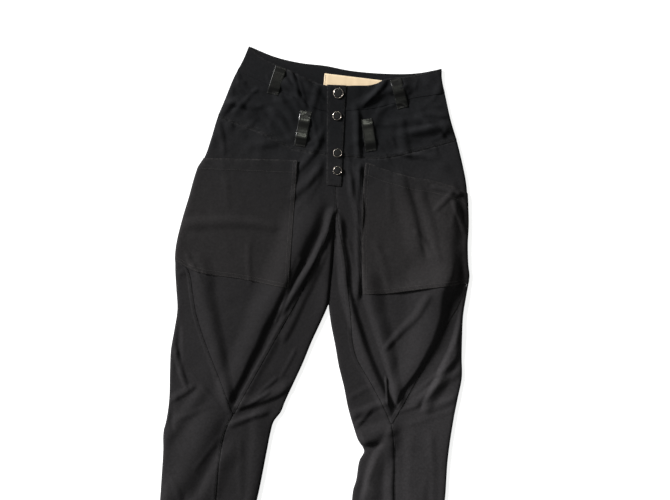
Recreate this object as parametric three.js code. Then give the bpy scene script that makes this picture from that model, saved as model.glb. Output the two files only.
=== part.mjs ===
// Tapered trousers with patch pockets, laid flat on their back, front up.
//
// Millimetres, +Z up from the table, +Y towards the waist, the wearer's left at +X.
// Heights called y in the tables are measured from the crotch, distances called x from
// the middle of the two hips. The group at the end is moved so that its origin lies under
// the middle of the garment. Every front piece is a wall on one draped surface, so that
// pieces meet at their seams, and what is sewn on a panel is made from its points.

import * as THREE from "three";

// Driving sizes
const CROTCH_Y = 227; // crotch above the origin
const INSEAM = 760;
const CROTCH_TIP_Y = 8; // the inner panels start here, just above the fork of the legs
const CLOTH = 1.4; // wall of one panel
const SEAM = 0.3; // gap between sewn pieces
const LAYER_GAP = 0.8; // least air between back and front
const BACK_BAND = 46; // width of the back waistband
const SLANT_GAP = 0.2; // half the gap across a slanting seam, measured along x

// Folded edge, where the cloth turns from front to back
const EDGE_TURNS = [0, 30, 60, 90].map(THREE.MathUtils.degToRad);
const FRONT_TURN = 4; // run of the front's quarter turn
const BACK_TURN = 2.5;
const BACK_Z = CLOTH / 2;
const FRONT_Z = CLOTH + LAYER_GAP + CLOTH / 2;
const EDGE_Z = 2.2; // height at which back and front meet
const EDGE_SPRING = 1.1; // the folded edge stands this much prouder than the cloth beside it
const EDGE_SPRING_REACH = 8;
const SWELL_REACH = 45; // distance over which a panel rises from its edge

// Fly: a flat strip of cloth carries the placket and its snaps
const FLY_Z = FRONT_Z + 1.5;
const FLY_HALF = 24;
const FLY_FADE = 16;
const FLY_FOOT = 44;
const PLACKET = { top: 246, foot: 50, topX: [-26, 11], footX: [-8, 20], thickness: 2 };
const SNAP_HEIGHT = 2.2;
const SNAP_SIDES = 16;

const POCKET_GAPE = 2; // the pocket's mouth stands this far off at its middle
const POCKET_SLACK = 0.8; // and its body this far
const LOOP_CLOTH = 1.1;
const LOOP_ARCH = 2.4;
const LOOP_LIFT = 0.5;

const { lerp, clamp, smoothstep } = THREE.MathUtils;

// A smooth curve through [position, value] pairs
function curve(pairs) {
  const cubic = new THREE.CubicInterpolant(
    pairs.map((pair) => pair[0]),
    pairs.map((pair) => pair[1]),
    1
  );
  const first = pairs[0][0];
  const last = pairs[pairs.length - 1][0];
  return (at) => cubic.evaluate(clamp(at, first, last))[0];
}

// Rows of a table as objects with the columns' names
const table = (names, rows) =>
  rows.map((row) => Object.fromEntries(names.map((name, i) => [name, row[i]])));

// Lines that run down the garment, as [y, x], and seams that cross it, as [x, y]
const centreFront = curve([[8, 15.5], [50, 9], [120, 3], [200, -2], [306, -8]]);
const backWaist = curve([
  [-186, 306], [-133, 290], [-83, 283], [-34, 282], [20, 277], [114, 280], [153, 286], [194, 298],
]);

const right = {
  name: "right",
  sign: -1,
  knee: -413,
  outline: curve([
    [-760, -258], [-700, -265], [-640, -272], [-560, -275], [-500, -277], [-460, -280],
    [-440, -277], [-400, -275], [-340, -279], [-300, -281], [-260, -278], [-220, -276],
    [-180, -282], [-140, -288], [-100, -290], [-40, -282], [0, -274], [40, -267], [60, -262],
    [80, -252], [120, -242], [160, -234], [200, -222], [240, -210], [280, -194], [306, -186],
  ]),
  innerOutline: curve([
    [-760, -118], [-700, -107], [-640, -95], [-560, -83], [-480, -75], [-440, -71], [-420, -67],
    [-400, -55], [-380, -49], [-340, -35], [-300, -21], [-260, -9], [-220, 5], [-200, 12],
    [-188, 15.8], [-178, 17.2], [-168, 17.4], [-100, 17.2], [-60, 16.1], [8, 15.35],
  ]),
  outerSeam: curve([[-413, -148], [-356, -176], [-275, -217], [-200, -254], [-150, -274], [-127, -285]]),
  innerSeam: curve([[-413, -146], [-344, -116], [-262, -80], [-145, -30], [-16, 10.5], [3.4, 13.4]]),
  shinSeam: curve([[-760, -172], [-584, -165], [-507, -165], [-447, -159], [-413, -147]]),
  pocketLine: curve([[-158, -63], [92, -69], [208, -71], [256, -73]]),
  waist: curve([
    [-186, 306], [-159, 287], [-130, 275], [-105, 267], [-73, 256], [-32, 244], [-6, 245],
  ]),
  bandSeam: curve([
    [-205, 256], [-159, 240], [-130, 228], [-105, 219], [-73, 208], [-32, 194], [-2, 196],
  ]),
  yokeSeam: curve([[-234, 163], [-141, 137], [-85, 115], [-59, 111], [4, 109]]),
  pocketTop: curve([[-254, 79], [-69, 92], [6, 94]]),
  pocketFoot: curve([[-289, -125], [-248, -142], [-156, -149], [-63, -158], [17, -158]]),
};

const left = {
  name: "left",
  sign: 1,
  knee: -403,
  outline: curve([
    [-760, 262], [-700, 270], [-640, 277], [-540, 281], [-460, 279], [-380, 283], [-340, 287],
    [-300, 291], [-260, 287], [-220, 284], [-180, 282], [-140, 284], [-100, 286], [-80, 282],
    [-40, 277], [0, 275], [40, 270], [80, 263], [120, 251], [160, 237], [200, 221], [240, 208],
    [280, 196], [298, 194],
  ]),
  innerOutline: curve([
    [-760, 122], [-700, 116], [-640, 108], [-540, 100], [-520, 104], [-480, 107], [-460, 114],
    [-440, 100], [-420, 91], [-380, 75], [-340, 63], [-300, 49], [-260, 38], [-220, 26],
    [-200, 21.4], [-188, 18.9], [-178, 18], [-168, 17.9], [-100, 17.8], [-60, 16.8], [8, 15.65],
  ]),
  outerSeam: curve([[-403, 163], [-355, 185], [-221, 242], [-150, 274], [-117, 283]]),
  innerSeam: curve([
    [-403, 161], [-375, 146], [-329, 116], [-278, 81], [-189, 61], [-83, 39], [-16, 20], [3.4, 17.7],
  ]),
  shinSeam: curve([[-760, 192], [-551, 182], [-435, 170], [-403, 162]]),
  pocketLine: curve([[-155, 83], [-66, 72], [28, 64], [101, 63], [208, 67], [256, 69]]),
  waist: curve([[-6, 245], [23, 248], [69, 256], [84, 266], [125, 275], [153, 283], [194, 298]]),
  bandSeam: curve([[-2, 196], [23, 199], [69, 208], [125, 228], [150, 237], [183, 245], [206, 252]]),
  yokeSeam: curve([[4, 109], [72, 110], [95, 112], [160, 132], [235, 160]]),
  pocketTop: curve([[6, 94], [63, 101], [97, 92], [153, 81], [197, 78], [245, 68], [267, 60]]),
  pocketFoot: curve([[17, -152], [83, -155], [119, -152], [188, -137], [286, -115]]),
};

// Air under the panels at each height
const swell = curve([[-760, 1.4], [-600, 2.2], [-400, 2.6], [-200, 2.6], [0, 2.4], [120, 1.8], [306, 1.2]]);

// Folds run from (x0, y0) to (x1, y1) with a bow in the middle. Each has a half width and a
// height at both ends, and a lean above 0 makes it steeper on the left as one walks along it.
const FOLD_COLUMNS = ["x0", "y0", "x1", "y1", "bow", "wide0", "wide1", "high0", "high1", "lean"];

right.folds = table(FOLD_COLUMNS, [
  // thigh, from the crotch out to the knee
  [-62, -92, -155, -362, 4, 60, 24, 9.5, 5.4, 0.42],
  [6, -34, -34, -170, 0, 24, 24, 6.5, 4.5, -0.25],
  [-26, -112, -139, -394, 3, 19, 14, 4.2, 1.2, -0.1],
  [-6, -90, -60, -250, 3, 12, 12, 1.6, 2.2, 0],
  [-232, -158, -160, -390, 0, 32, 16, 4.2, 3.6, 0.1],
  // knee and calf
  [-50, -356, -130, -392, 4, 15, 14, 3.4, 3.4, 0.4],
  [-90, -405, -142, -431, 0, 12, 10, 2.4, 2, 0.2],
  [-222, -392, -276, -474, 0, 22, 18, 2.2, 1.6, -0.1],
  [-200, -458, -256, -590, 4, 46, 40, 5.5, 4, 0.1],
  [-158, -500, -224, -640, 4, 30, 26, 3.4, 2.8, -0.25],
  [-96, -425, -98, -590, 2, 24, 20, 2, 1.2, -0.2],
  [-186, -640, -166, -748, 0, 26, 20, 3, 2.2, 0.2],
  [-214, -600, -232, -700, 0, 20, 14, 2, 1.5, 0],
  // hip and pocket
  [-16, 160, -60, 84, 2, 13, 11, 3.2, 2.2, 0.1],
  [-16, 92, -64, 28, 3, 14, 13, 3.4, 2.2, 0.2],
  [-258, -50, -112, -40, 3, 18, 14, 1.8, 1.4, 0],
  [-176, 176, -112, 152, 0, 16, 12, 1.6, 1.2, 0],
]);

left.folds = table(FOLD_COLUMNS, [
  // thigh, from the crotch out to the knee
  [24, -22, 148, -372, -18, 13, 18, 3.2, 7, 0.2],
  [90, -138, 168, -352, 3, 26, 14, 5.5, 4, -0.25],
  [234, -138, 170, -347, 16, 58, 22, 12, 7, 0.5],
  [286, -140, 230, -350, 10, 22, 14, 5, 2.6, -0.1],
  [206, -158, 142, -250, 2, 12, 9, 2.4, 2, 0],
  // knee and calf
  [212, -352, 286, -290, 2, 15, 12, 2.4, 1.6, 0],
  [236, -366, 288, -338, 0, 14, 12, 1.6, 1.4, 0],
  [80, -392, 140, -366, 0, 15, 10, 3, 2, 0],
  [96, -424, 150, -406, -3, 30, 24, 6, 4, 0.3],
  [134, -532, 158, -440, 9, 28, 22, 5.5, 4.5, -0.3],
  [166, -460, 180, -590, 0, 14, 12, 1.6, 3, 0.3],
  [206, -452, 214, -590, 0, 24, 20, 1.2, 1, -0.2],
  [240, -450, 234, -600, 0, 26, 20, 1, 0.9, 0.25],
  [196, -620, 186, -745, 0, 26, 20, 3, 2.2, 0.2],
  [146, -610, 158, -720, 0, 16, 12, 2.2, 1.8, 0],
  // pocket
  [142, 56, 182, -50, 3, 24, 20, 2.8, 2.4, 0.4],
  [180, 44, 218, -64, 3, 16, 14, 2, 1.8, 0],
  [238, 20, 250, -116, 0, 40, 34, 6, 5.5, 0.35],
  [40, 60, 56, -10, 0, 12, 10, 2.2, 1.8, 0],
]);

// How far a fold runs on past both ends, in half widths
const FOLD_RUN_OUT = 2;

// Height of one fold over a point: a rounded ridge that fades out past both ends
function foldHeight(fold, x, y) {
  const length = Math.hypot(fold.x1 - fold.x0, fold.y1 - fold.y0);
  const alongX = (fold.x1 - fold.x0) / length;
  const alongY = (fold.y1 - fold.y0) / length;
  const share = ((x - fold.x0) * alongX + (y - fold.y0) * alongY) / length;
  const along = clamp(share, 0, 1);
  const wide = lerp(fold.wide0, fold.wide1, along);
  const past = (Math.abs(share - along) * length) / (FOLD_RUN_OUT * wide);
  const bow = 4 * fold.bow * along * (1 - along);
  const across = (y - fold.y0) * alongX - (x - fold.x0) * alongY - bow;
  const reach = wide * (across > 0 ? 1 - fold.lean : 1 + fold.lean);
  const off = Math.hypot(across / reach, past);
  return off < 1 ? lerp(fold.high0, fold.high1, along) * Math.cos((off * Math.PI) / 2) ** 2 : 0;
}

// The two folded edges of a leg: how far a point lies inside each, and how much it turns there
function legEdges(side, x, y) {
  const edge = (line, out, turn) => {
    const slope = (line(y + 1) - line(y - 1)) / 2;
    const outward = new THREE.Vector3(out, -out * slope, 0).normalize();
    return { inside: (out * (line(y) - x)) / Math.hypot(1, slope), outward, turn };
  };
  return [
    edge(side.outline, side.sign, 1),
    edge(side.innerOutline, -side.sign, 1 - smoothstep(y, -70, 6)),
  ];
}

// Height of the front's middle surface before its edges are turned down
function drape(side, x, y) {
  const edges = legEdges(side, x, y);
  let rise = swell(y);
  for (const { inside, turn } of edges) rise *= 1 - turn * Math.exp(-Math.max(inside, 0) / SWELL_REACH);
  for (const { inside, turn } of edges) {
    const far = Math.max(inside, 0) / EDGE_SPRING_REACH;
    rise += turn * EDGE_SPRING * far * Math.exp(1 - far);
  }
  const calm = edges.reduce((share, e) => share * lerp(1, smoothstep(e.inside, -4, 14), e.turn), 1);
  for (const fold of side.folds) rise += calm * foldHeight(fold, x, y);
  const besideFly = Math.abs(x - centreFront(y));
  const fly =
    (1 - smoothstep(besideFly, FLY_HALF, FLY_HALF + FLY_FADE)) * smoothstep(y, FLY_FOOT - 40, FLY_FOOT);
  return lerp(FRONT_Z + rise, FLY_Z, fly);
}

// Turns a surface down or up at the folded edges, where its normal ends level
function turnEdges(edges, point, normal, endZ, run) {
  const rise = point.z - endZ;
  for (const { inside, outward, turn } of edges) {
    const share = (inside - CLOTH / 2) / run;
    if (share >= 1 || turn === 0) continue;
    const angle = Math.acos(1 - clamp(share, 0, 1));
    const drop = turn * (1 - Math.sin(angle));
    point.z -= rise * drop;
    normal.multiplyScalar(1 - drop);
    normal.addScaledVector(outward, (turn * rise * Math.cos(angle)) / run);
  }
  return { point, normal: normal.normalize() };
}

function frontAt(side, x, y) {
  const slopeX = (drape(side, x + 1, y) - drape(side, x - 1, y)) / 2;
  const slopeY = (drape(side, x, y + 1) - drape(side, x, y - 1)) / 2;
  const point = new THREE.Vector3(x, y, drape(side, x, y));
  const normal = new THREE.Vector3(-slopeX, -slopeY, 1);
  return turnEdges(legEdges(side, x, y), point, normal, EDGE_Z + SEAM / 2, FRONT_TURN);
}

function backAt(side, x, y) {
  const point = new THREE.Vector3(x, y, BACK_Z);
  const normal = new THREE.Vector3(0, 0, 1);
  return turnEdges(legEdges(side, x, y), point, normal, EDGE_Z - SEAM / 2, BACK_TURN);
}

// Rows of the front: whole numbers are edges and seams, the rest lie between them
const WAIST = 0;
const BAND = 1;
const YOKE = 2;
const POCKET = 3;
const CROTCH = 4;
const POCKET_FOOT = 5;
const KNEE = 6;
const HEM = 7;
const TIP = 0.006; // a panel's tip starts this far past a row

function frontRow(side, row, x) {
  const heights = [
    side.waist, side.bandSeam, side.yokeSeam, side.pocketTop,
    () => CROTCH_TIP_Y, side.pocketFoot, () => side.knee, () => -INSEAM,
  ];
  const above = Math.min(Math.floor(row), HEM - 1);
  return lerp(heights[above](x), heights[above + 1](x), row - above);
}

function backRow(row, x) {
  const heights = [backWaist(x), backWaist(x) - BACK_BAND, CROTCH_TIP_Y, -INSEAM];
  const above = Math.min(Math.floor(row), 2);
  return lerp(heights[above], heights[above + 1], row - above);
}

// Even steps from one row to another, without the first
const steps = (from, to, count) =>
  Array.from({ length: count }, (_, i) => lerp(from, to, (i + 1) / count));

// Distances of the first columns from a folded edge, closed up where the panel is narrow
const FULL_EDGE_WIDTH = 30;

function edgeColumns(width, run) {
  const scale = Math.min(1, width / FULL_EDGE_WIDTH);
  return EDGE_TURNS.map((angle) => CLOTH / 2 + scale * run * (1 - Math.cos(angle)));
}

// Columns from x = from, with an edge zone there, over even steps to x = to
function columnsFromEdge(from, to, count, start = CLOTH / 2, run = FRONT_TURN) {
  const inward = Math.sign(to - from);
  const near = edgeColumns(Math.abs(to - from), run).map((e) => from + inward * (e - CLOTH / 2 + start));
  return [...near, ...steps(near[near.length - 1], to, count)];
}

// Steps across the pocket, from there to the fly or inner seam, across a leg panel and half a back
const THIGH_COLUMNS = 9;
const FLY_COLUMNS = 5;
const LEG_COLUMNS = 4;
const BACK_COLUMNS = 5;

// Below the pocket its inner line runs on at this share of the thigh panel's width
const POCKET_FOOT_Y = -150;
const LINE_SHARE = { atPocket: 0.87, atKnee: 0.6 };

function upperColumns(side, row, y) {
  const inward = -side.sign;
  const onLeg = row > POCKET_FOOT;
  const outer = onLeg ? side.outerSeam(y) : side.outline(y);
  const inner = (row > CROTCH ? side.innerSeam(y) : centreFront(y)) - inward * SLANT_GAP;
  const down = clamp((y - POCKET_FOOT_Y) / (side.knee - POCKET_FOOT_Y), 0, 1);
  const share = lerp(LINE_SHARE.atPocket, LINE_SHARE.atKnee, down);
  const middle = onLeg ? lerp(outer, inner, share) : side.pocketLine(y);
  const start = onLeg ? SLANT_GAP : CLOTH / 2;
  return [...columnsFromEdge(outer, middle, THIGH_COLUMNS, start), ...steps(middle, inner, FLY_COLUMNS)];
}

function outerColumns(side, row, y) {
  const seam = row > KNEE ? side.shinSeam(y) : side.outerSeam(y);
  return columnsFromEdge(side.outline(y), seam + side.sign * SLANT_GAP, LEG_COLUMNS);
}

function innerColumns(side, row, y) {
  const seam = row > KNEE ? side.shinSeam(y) : side.innerSeam(y);
  const start = lerp(SLANT_GAP, CLOTH / 2, legEdges(side, 0, y)[1].turn);
  return columnsFromEdge(side.innerOutline(y), seam - side.sign * SLANT_GAP, LEG_COLUMNS, start);
}

function backColumns(side, row, y) {
  const low = row > 2;
  const edge = low ? side.innerOutline(y) : centreFront(y);
  const turn = low ? legEdges(side, 0, y)[1].turn : 0;
  const inner = edge + side.sign * lerp(SLANT_GAP, CLOTH / 2, turn);
  const middle = lerp(side.outline(y), inner, 0.5);
  const outerHalf = columnsFromEdge(side.outline(y), middle, BACK_COLUMNS, CLOTH / 2, BACK_TURN);
  const innerHalf = columnsFromEdge(inner, middle, BACK_COLUMNS, 0, BACK_TURN);
  return [...outerHalf, ...innerHalf.reverse().slice(1)];
}

// The band runs across both backs, with their columns, so that the seam between them matches
const backBandColumns = (row, y) => [...backColumns(right, row, y), ...backColumns(left, row, y).reverse()];

// Where each row crosses each column, found by a few rounds of trying one in the other
const ROUNDS = 12;

function crossings(rows, rowAt, columnsAt, shift) {
  return rows.map((row) => {
    const last = rows[rows.length - 1];
    const nudge = row === rows[0] ? -shift : row === last ? shift : 0;
    return columnsAt(row, rowAt(row, 0)).map((guess, i) => {
      let [x, y] = [guess, rowAt(row, guess)];
      for (let round = 0; round < ROUNDS; round += 1) {
        x = columnsAt(row, y)[i];
        y = rowAt(row, x) + nudge;
      }
      return [x, y];
    });
  });
}

const frontLattice = (side, rows, columns, shift = SEAM / 2) =>
  crossings(
    rows,
    (row, x) => frontRow(side, row, x),
    (row, y) => columns(side, row, y),
    shift
  ).map((line) => line.map(([x, y]) => frontAt(side, x, y)));

// Closed wall over a lattice of points and normals
function wall(lattice, thickness) {
  const down = lattice.length;
  const across = lattice[0].length;
  const positions = [];
  for (const half of [thickness / 2, -thickness / 2]) {
    for (const line of lattice) {
      for (const { point, normal } of line) {
        positions.push(...point.clone().addScaledVector(normal, half).toArray());
      }
    }
  }
  const at = (face, j, i) => (face * down + j) * across + i;
  const index = [];
  const quad = (a, b, c, d) => index.push(a, b, c, a, c, d);
  for (let j = 0; j < down - 1; j += 1) {
    for (let i = 0; i < across - 1; i += 1) {
      quad(at(0, j, i), at(0, j + 1, i), at(0, j + 1, i + 1), at(0, j, i + 1));
      quad(at(1, j, i), at(1, j, i + 1), at(1, j + 1, i + 1), at(1, j + 1, i));
    }
  }
  for (let i = 0; i < across - 1; i += 1) {
    quad(at(0, 0, i), at(0, 0, i + 1), at(1, 0, i + 1), at(1, 0, i));
    quad(at(0, down - 1, i + 1), at(0, down - 1, i), at(1, down - 1, i), at(1, down - 1, i + 1));
  }
  for (let j = 0; j < down - 1; j += 1) {
    quad(at(0, j + 1, 0), at(0, j, 0), at(1, j, 0), at(1, j + 1, 0));
    quad(at(0, j, across - 1), at(0, j + 1, across - 1), at(1, j + 1, across - 1), at(1, j, across - 1));
  }
  const leftToRight = lattice[0][across - 1].point.x > lattice[0][0].point.x;
  if (!leftToRight) index.reverse();
  const geometry = new THREE.BufferGeometry();
  geometry.setAttribute("position", new THREE.Float32BufferAttribute(positions, 3));
  geometry.setIndex(index);
  geometry.computeVertexNormals();
  return geometry;
}

// Lattice points moved out along their normals, by an amount that may change over the lattice
const movedOut = (lattice, amount) =>
  lattice.map((line, j) =>
    line.map(({ point, normal }, i) => ({
      point: point
        .clone()
        .addScaledVector(normal, amount(j / (lattice.length - 1), i / (line.length - 1))),
      normal,
    }))
  );

const finish = (name, color, roughness, metalness = 0) =>
  new THREE.MeshStandardMaterial({ name, color, roughness, metalness });
const cloth = finish("cloth", 0x29282a, 0.88);
const ribbon = finish("ribbon", 0x33332f, 0.4);
const metal = finish("metal", 0x9a938a, 0.32, 1);
const cap = finish("cap", 0x1a1a1b, 0.45, 0.3);
const cream = finish("label", 0xe6d2ac, 0.8);

const garment = new THREE.Group();
garment.name = "trousers";
garment.position.y = CROTCH_Y;

function add(name, geometry, material) {
  const mesh = new THREE.Mesh(geometry, material);
  mesh.name = name;
  garment.add(mesh);
  return mesh;
}

// Front panels and back of one side
const ROWS_TO_CROTCH = [...steps(POCKET, CROTCH, 4)];
const ROWS_TO_FOOT = [CROTCH + TIP, ...steps(CROTCH + TIP, POCKET_FOOT, 7)];
const ROWS_TO_KNEE = [POCKET_FOOT + TIP, ...steps(POCKET_FOOT + TIP, KNEE, 12)];
const ROWS_TO_HEM = [KNEE + TIP, ...steps(KNEE + TIP, HEM, 11)];

function buildSide(side) {
  const band = frontLattice(side, [WAIST, ...steps(WAIST, BAND, 3)], upperColumns);
  add(`waistband_front_${side.name}`, wall(band, CLOTH), cloth);

  const yoke = frontLattice(side, [BAND, ...steps(BAND, YOKE, 4)], upperColumns);
  add(`yoke_${side.name}`, wall(yoke, CLOTH), cloth);

  const thighRows = [YOKE, ...steps(YOKE, POCKET, 2), ...ROWS_TO_CROTCH, ...ROWS_TO_FOOT, ...ROWS_TO_KNEE];
  const thigh = frontLattice(side, thighRows, upperColumns);
  add(`front_thigh_${side.name}`, wall(thigh, CLOTH), cloth);

  const outerRows = [...ROWS_TO_KNEE, ...ROWS_TO_HEM];
  add(`outer_leg_${side.name}`, wall(frontLattice(side, outerRows, outerColumns, 0), CLOTH), cloth);

  const innerRows = [...ROWS_TO_FOOT, ...ROWS_TO_KNEE, ...ROWS_TO_HEM];
  add(`inner_leg_${side.name}`, wall(frontLattice(side, innerRows, innerColumns, 0), CLOTH), cloth);

  // the pocket lies on the thigh's own points, from the folded edge to the pocket line
  const top = thighRows.indexOf(POCKET);
  const foot = thighRows.indexOf(POCKET_FOOT);
  const width = EDGE_TURNS.length + THIGH_COLUMNS;
  const under = thigh.slice(top, foot + 1).map((line) => line.slice(0, width));
  const slack = (down, across) =>
    CLOTH + SEAM + POCKET_GAPE * Math.sin(Math.PI * across) * (1 - down) ** 2 +
    POCKET_SLACK * Math.sin(Math.PI * across) * Math.sin(Math.PI * down);
  add(`pocket_${side.name}`, wall(movedOut(under, slack), CLOTH), cloth);

  const backRows = [1, ...steps(1, 2, 5), 2 + TIP, ...steps(2 + TIP, 3, 11)];
  const back = crossings(backRows, backRow, (row, y) => backColumns(side, row, y), SEAM / 2);
  const backLattice = back.map((line) => line.map(([x, y]) => backAt(side, x, y)));
  add(`back_${side.name}`, wall(backLattice, CLOTH), cloth);
}

function buildBackBand() {
  const lines = crossings([0, 0.5, 1], backRow, backBandColumns, SEAM / 2);
  const lattice = lines.map((line) => line.map(([x, y]) => backAt(x < 0 ? right : left, x, y)));
  add("waistband_back", wall(lattice, CLOTH), cloth);
}

// Flat plate from an outline, its underside at height z
function plate(corners, z, thickness) {
  const outline = new THREE.Shape(corners.map(([x, y]) => new THREE.Vector2(x, y)));
  const geometry = new THREE.ExtrudeGeometry(outline, { depth: thickness, bevelEnabled: false });
  return geometry.translate(0, 0, z);
}

function buildLabel() {
  const corners = [[-33, 238], [23, 242], [69, 250], [80, 254], [80, 264], [-33, 267]];
  add("label", plate(corners, CLOTH + SEAM, 0.6), cream);
}

const placketX = (y) => {
  const down = (PLACKET.top - y) / (PLACKET.top - PLACKET.foot);
  return [0, 1].map((i) => lerp(PLACKET.topX[i], PLACKET.footX[i], down));
};
const PLACKET_Z = FLY_Z + CLOTH / 2 + SEAM;

function buildPlacket() {
  const { top, foot, topX, footX, thickness } = PLACKET;
  const corners = [[topX[0], top - 1], [footX[0], foot], [footX[1], foot], [topX[1], top + 1]];
  add("fly_placket", plate(corners, PLACKET_Z, thickness), cloth);
}

// Snap buttons: a metal ring round a dark core
const SNAPS = table(["x", "y", "radius"], [
  [-3, 230, 10], [-1, 186, 8.5], [7, 114, 8.5], [10, 80, 8.5],
]);

function buildSnap({ x, y, radius }, number) {
  const inner = radius * 0.8;
  const ring = [
    [inner, 0.5], [inner + 0.5, 0], [radius - 0.5, 0], [radius, 0.8],
    [radius - 0.7, SNAP_HEIGHT - 0.1], [inner + 0.5, SNAP_HEIGHT], [inner, SNAP_HEIGHT - 0.6], [inner, 0.5],
  ];
  const rim = inner - SEAM;
  const core = [[0, 0], [rim, 0], [rim, 0.8], [rim * 0.6, 1.2], [0, 1.4]];
  const turned = (profile) => {
    const points = profile.map(([r, z]) => new THREE.Vector2(r, z));
    return new THREE.LatheGeometry(points, SNAP_SIDES).rotateX(Math.PI / 2);
  };
  const z = PLACKET_Z + PLACKET.thickness + SEAM;
  add(`snap_ring_${number}`, turned(ring), metal).position.set(x, y, z);
  add(`snap_core_${number}`, turned(core), cap).position.set(x, y, z);
}

// Belt loops: a ribbon sewn down at both ends and arched between them
const LOOPS = table(["side", "topX", "topY", "footX", "footY"], [
  [right, -119, 271, -131, 216], [left, 106, 269, 126, 214],
  [right, -62, 190, -68, 120], [left, 57, 186, 72, 124],
]);
const LOOP_HALF = 11;
const LOOP_ROWS = 10;

function buildLoop({ side, topX, topY, footX, footY }, number) {
  const length = Math.hypot(footX - topX, footY - topY);
  const across = [-(footY - topY) / length, (footX - topX) / length];
  const lattice = [];
  for (let j = 0; j <= LOOP_ROWS; j += 1) {
    const down = j / LOOP_ROWS;
    const arch = LOOP_ARCH * smoothstep(Math.min(down, 1 - down), 0.04, 0.3);
    lattice.push(
      [-1, 0, 1].map((half) => {
        const x = lerp(topX, footX, down) + half * LOOP_HALF * across[0];
        const y = lerp(topY, footY, down) + half * LOOP_HALF * across[1];
        const { point, normal } = frontAt(side, x, y);
        point.addScaledVector(normal, (CLOTH + LOOP_CLOTH) / 2 + LOOP_LIFT + arch);
        return { point, normal };
      })
    );
  }
  add(`belt_loop_${number}`, wall(lattice, LOOP_CLOTH), ribbon);
}

[right, left].forEach(buildSide);
buildBackBand();
buildLabel();
buildPlacket();
SNAPS.forEach((snap, i) => buildSnap(snap, i + 1));
LOOPS.forEach((loop, i) => buildLoop(loop, i + 1));

export default garment;
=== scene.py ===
# %% [markdown]
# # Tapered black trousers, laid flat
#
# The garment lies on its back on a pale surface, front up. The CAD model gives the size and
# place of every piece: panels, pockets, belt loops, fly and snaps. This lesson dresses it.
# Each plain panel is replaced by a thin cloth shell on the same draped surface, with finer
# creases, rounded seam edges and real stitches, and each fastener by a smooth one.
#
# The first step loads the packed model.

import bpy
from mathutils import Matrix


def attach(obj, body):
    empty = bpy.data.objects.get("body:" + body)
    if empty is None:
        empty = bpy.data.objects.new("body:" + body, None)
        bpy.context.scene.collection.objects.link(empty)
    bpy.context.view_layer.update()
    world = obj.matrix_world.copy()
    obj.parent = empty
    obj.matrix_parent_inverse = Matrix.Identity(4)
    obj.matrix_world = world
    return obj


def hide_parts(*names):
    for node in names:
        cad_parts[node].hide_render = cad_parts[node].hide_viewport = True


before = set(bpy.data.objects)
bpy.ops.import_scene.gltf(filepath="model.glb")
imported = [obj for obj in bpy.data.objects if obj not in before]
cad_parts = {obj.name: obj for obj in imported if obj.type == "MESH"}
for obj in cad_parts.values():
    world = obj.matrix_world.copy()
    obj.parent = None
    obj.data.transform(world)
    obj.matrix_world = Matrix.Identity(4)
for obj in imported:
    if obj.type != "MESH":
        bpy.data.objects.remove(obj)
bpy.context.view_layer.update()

import math
from types import SimpleNamespace

import bpy
import numpy as np

# %% [markdown]
# Operators act on whatever is selected, and the loaded nodes all are, so a small helper clears
# the selection before each new piece.
#
# Lengths in the tables are millimetres, as a tailor would write them, and one factor turns
# them into Blender's metres when a mesh is made. Heights called y are measured from the
# crotch, so another constant moves them up to the frame's origin.

# %% Units and selection helpers
MM = 0.001
CROTCH_Y = 227


def deselect_all():
    if bpy.context.object and bpy.context.object.mode != "OBJECT":
        bpy.ops.object.mode_set(mode="OBJECT")
    bpy.ops.object.select_all(action="DESELECT")


def lerp(a, b, share):
    return a + (b - a) * share


def smoothstep(value, low, high):
    share = np.clip((value - low) / (high - low), 0, 1)
    return share * share * (3 - 2 * share)


deselect_all()
print("Selected objects:", len(bpy.context.selected_objects))

# %% [markdown]
# ## The pattern's lines
#
# A cutter draws a trouser leg from a few long lines: its outlines, the seams that run down it
# and the seams that cross it. Here each line is a short table of points with a smooth curve
# through them. Lines that run down give x at a height y, lines that cross give y at a
# distance x. They could be Blender curves, but as plain functions they can be asked for a
# value anywhere, for thousands of points at once.

# %% Smooth curve through a short table
def curve(pairs):
    at, value = np.array(pairs, float).T
    slope = np.diff(value) / np.diff(at)
    tangent = np.concatenate([slope[:1], (slope[:-1] + slope[1:]) / 2, slope[-1:]])

    def evaluate(where):
        where = np.clip(where, at[0], at[-1])
        i = np.clip(np.searchsorted(at, where, side="right") - 1, 0, len(at) - 2)
        step = at[i + 1] - at[i]
        p = (where - at[i]) / step
        start = (1 + 2 * p) * (1 - p) ** 2 * value[i] + p * (1 - p) ** 2 * step * tangent[i]
        return start + p * p * (3 - 2 * p) * value[i + 1] + p * p * (p - 1) * step * tangent[i + 1]

    return evaluate


print("Halfway from (0, 0) to (10, 4):", float(curve([(0, 0), (10, 4)])(5)))

# %% Lines of the fly, the back waist and the right leg
centre_front = curve([(8, 15.5), (50, 9), (120, 3), (200, -2), (306, -8)])
back_waist = curve([
    (-186, 306), (-133, 290), (-83, 283), (-34, 282), (20, 277), (114, 280), (153, 286), (194, 298),
])

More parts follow.
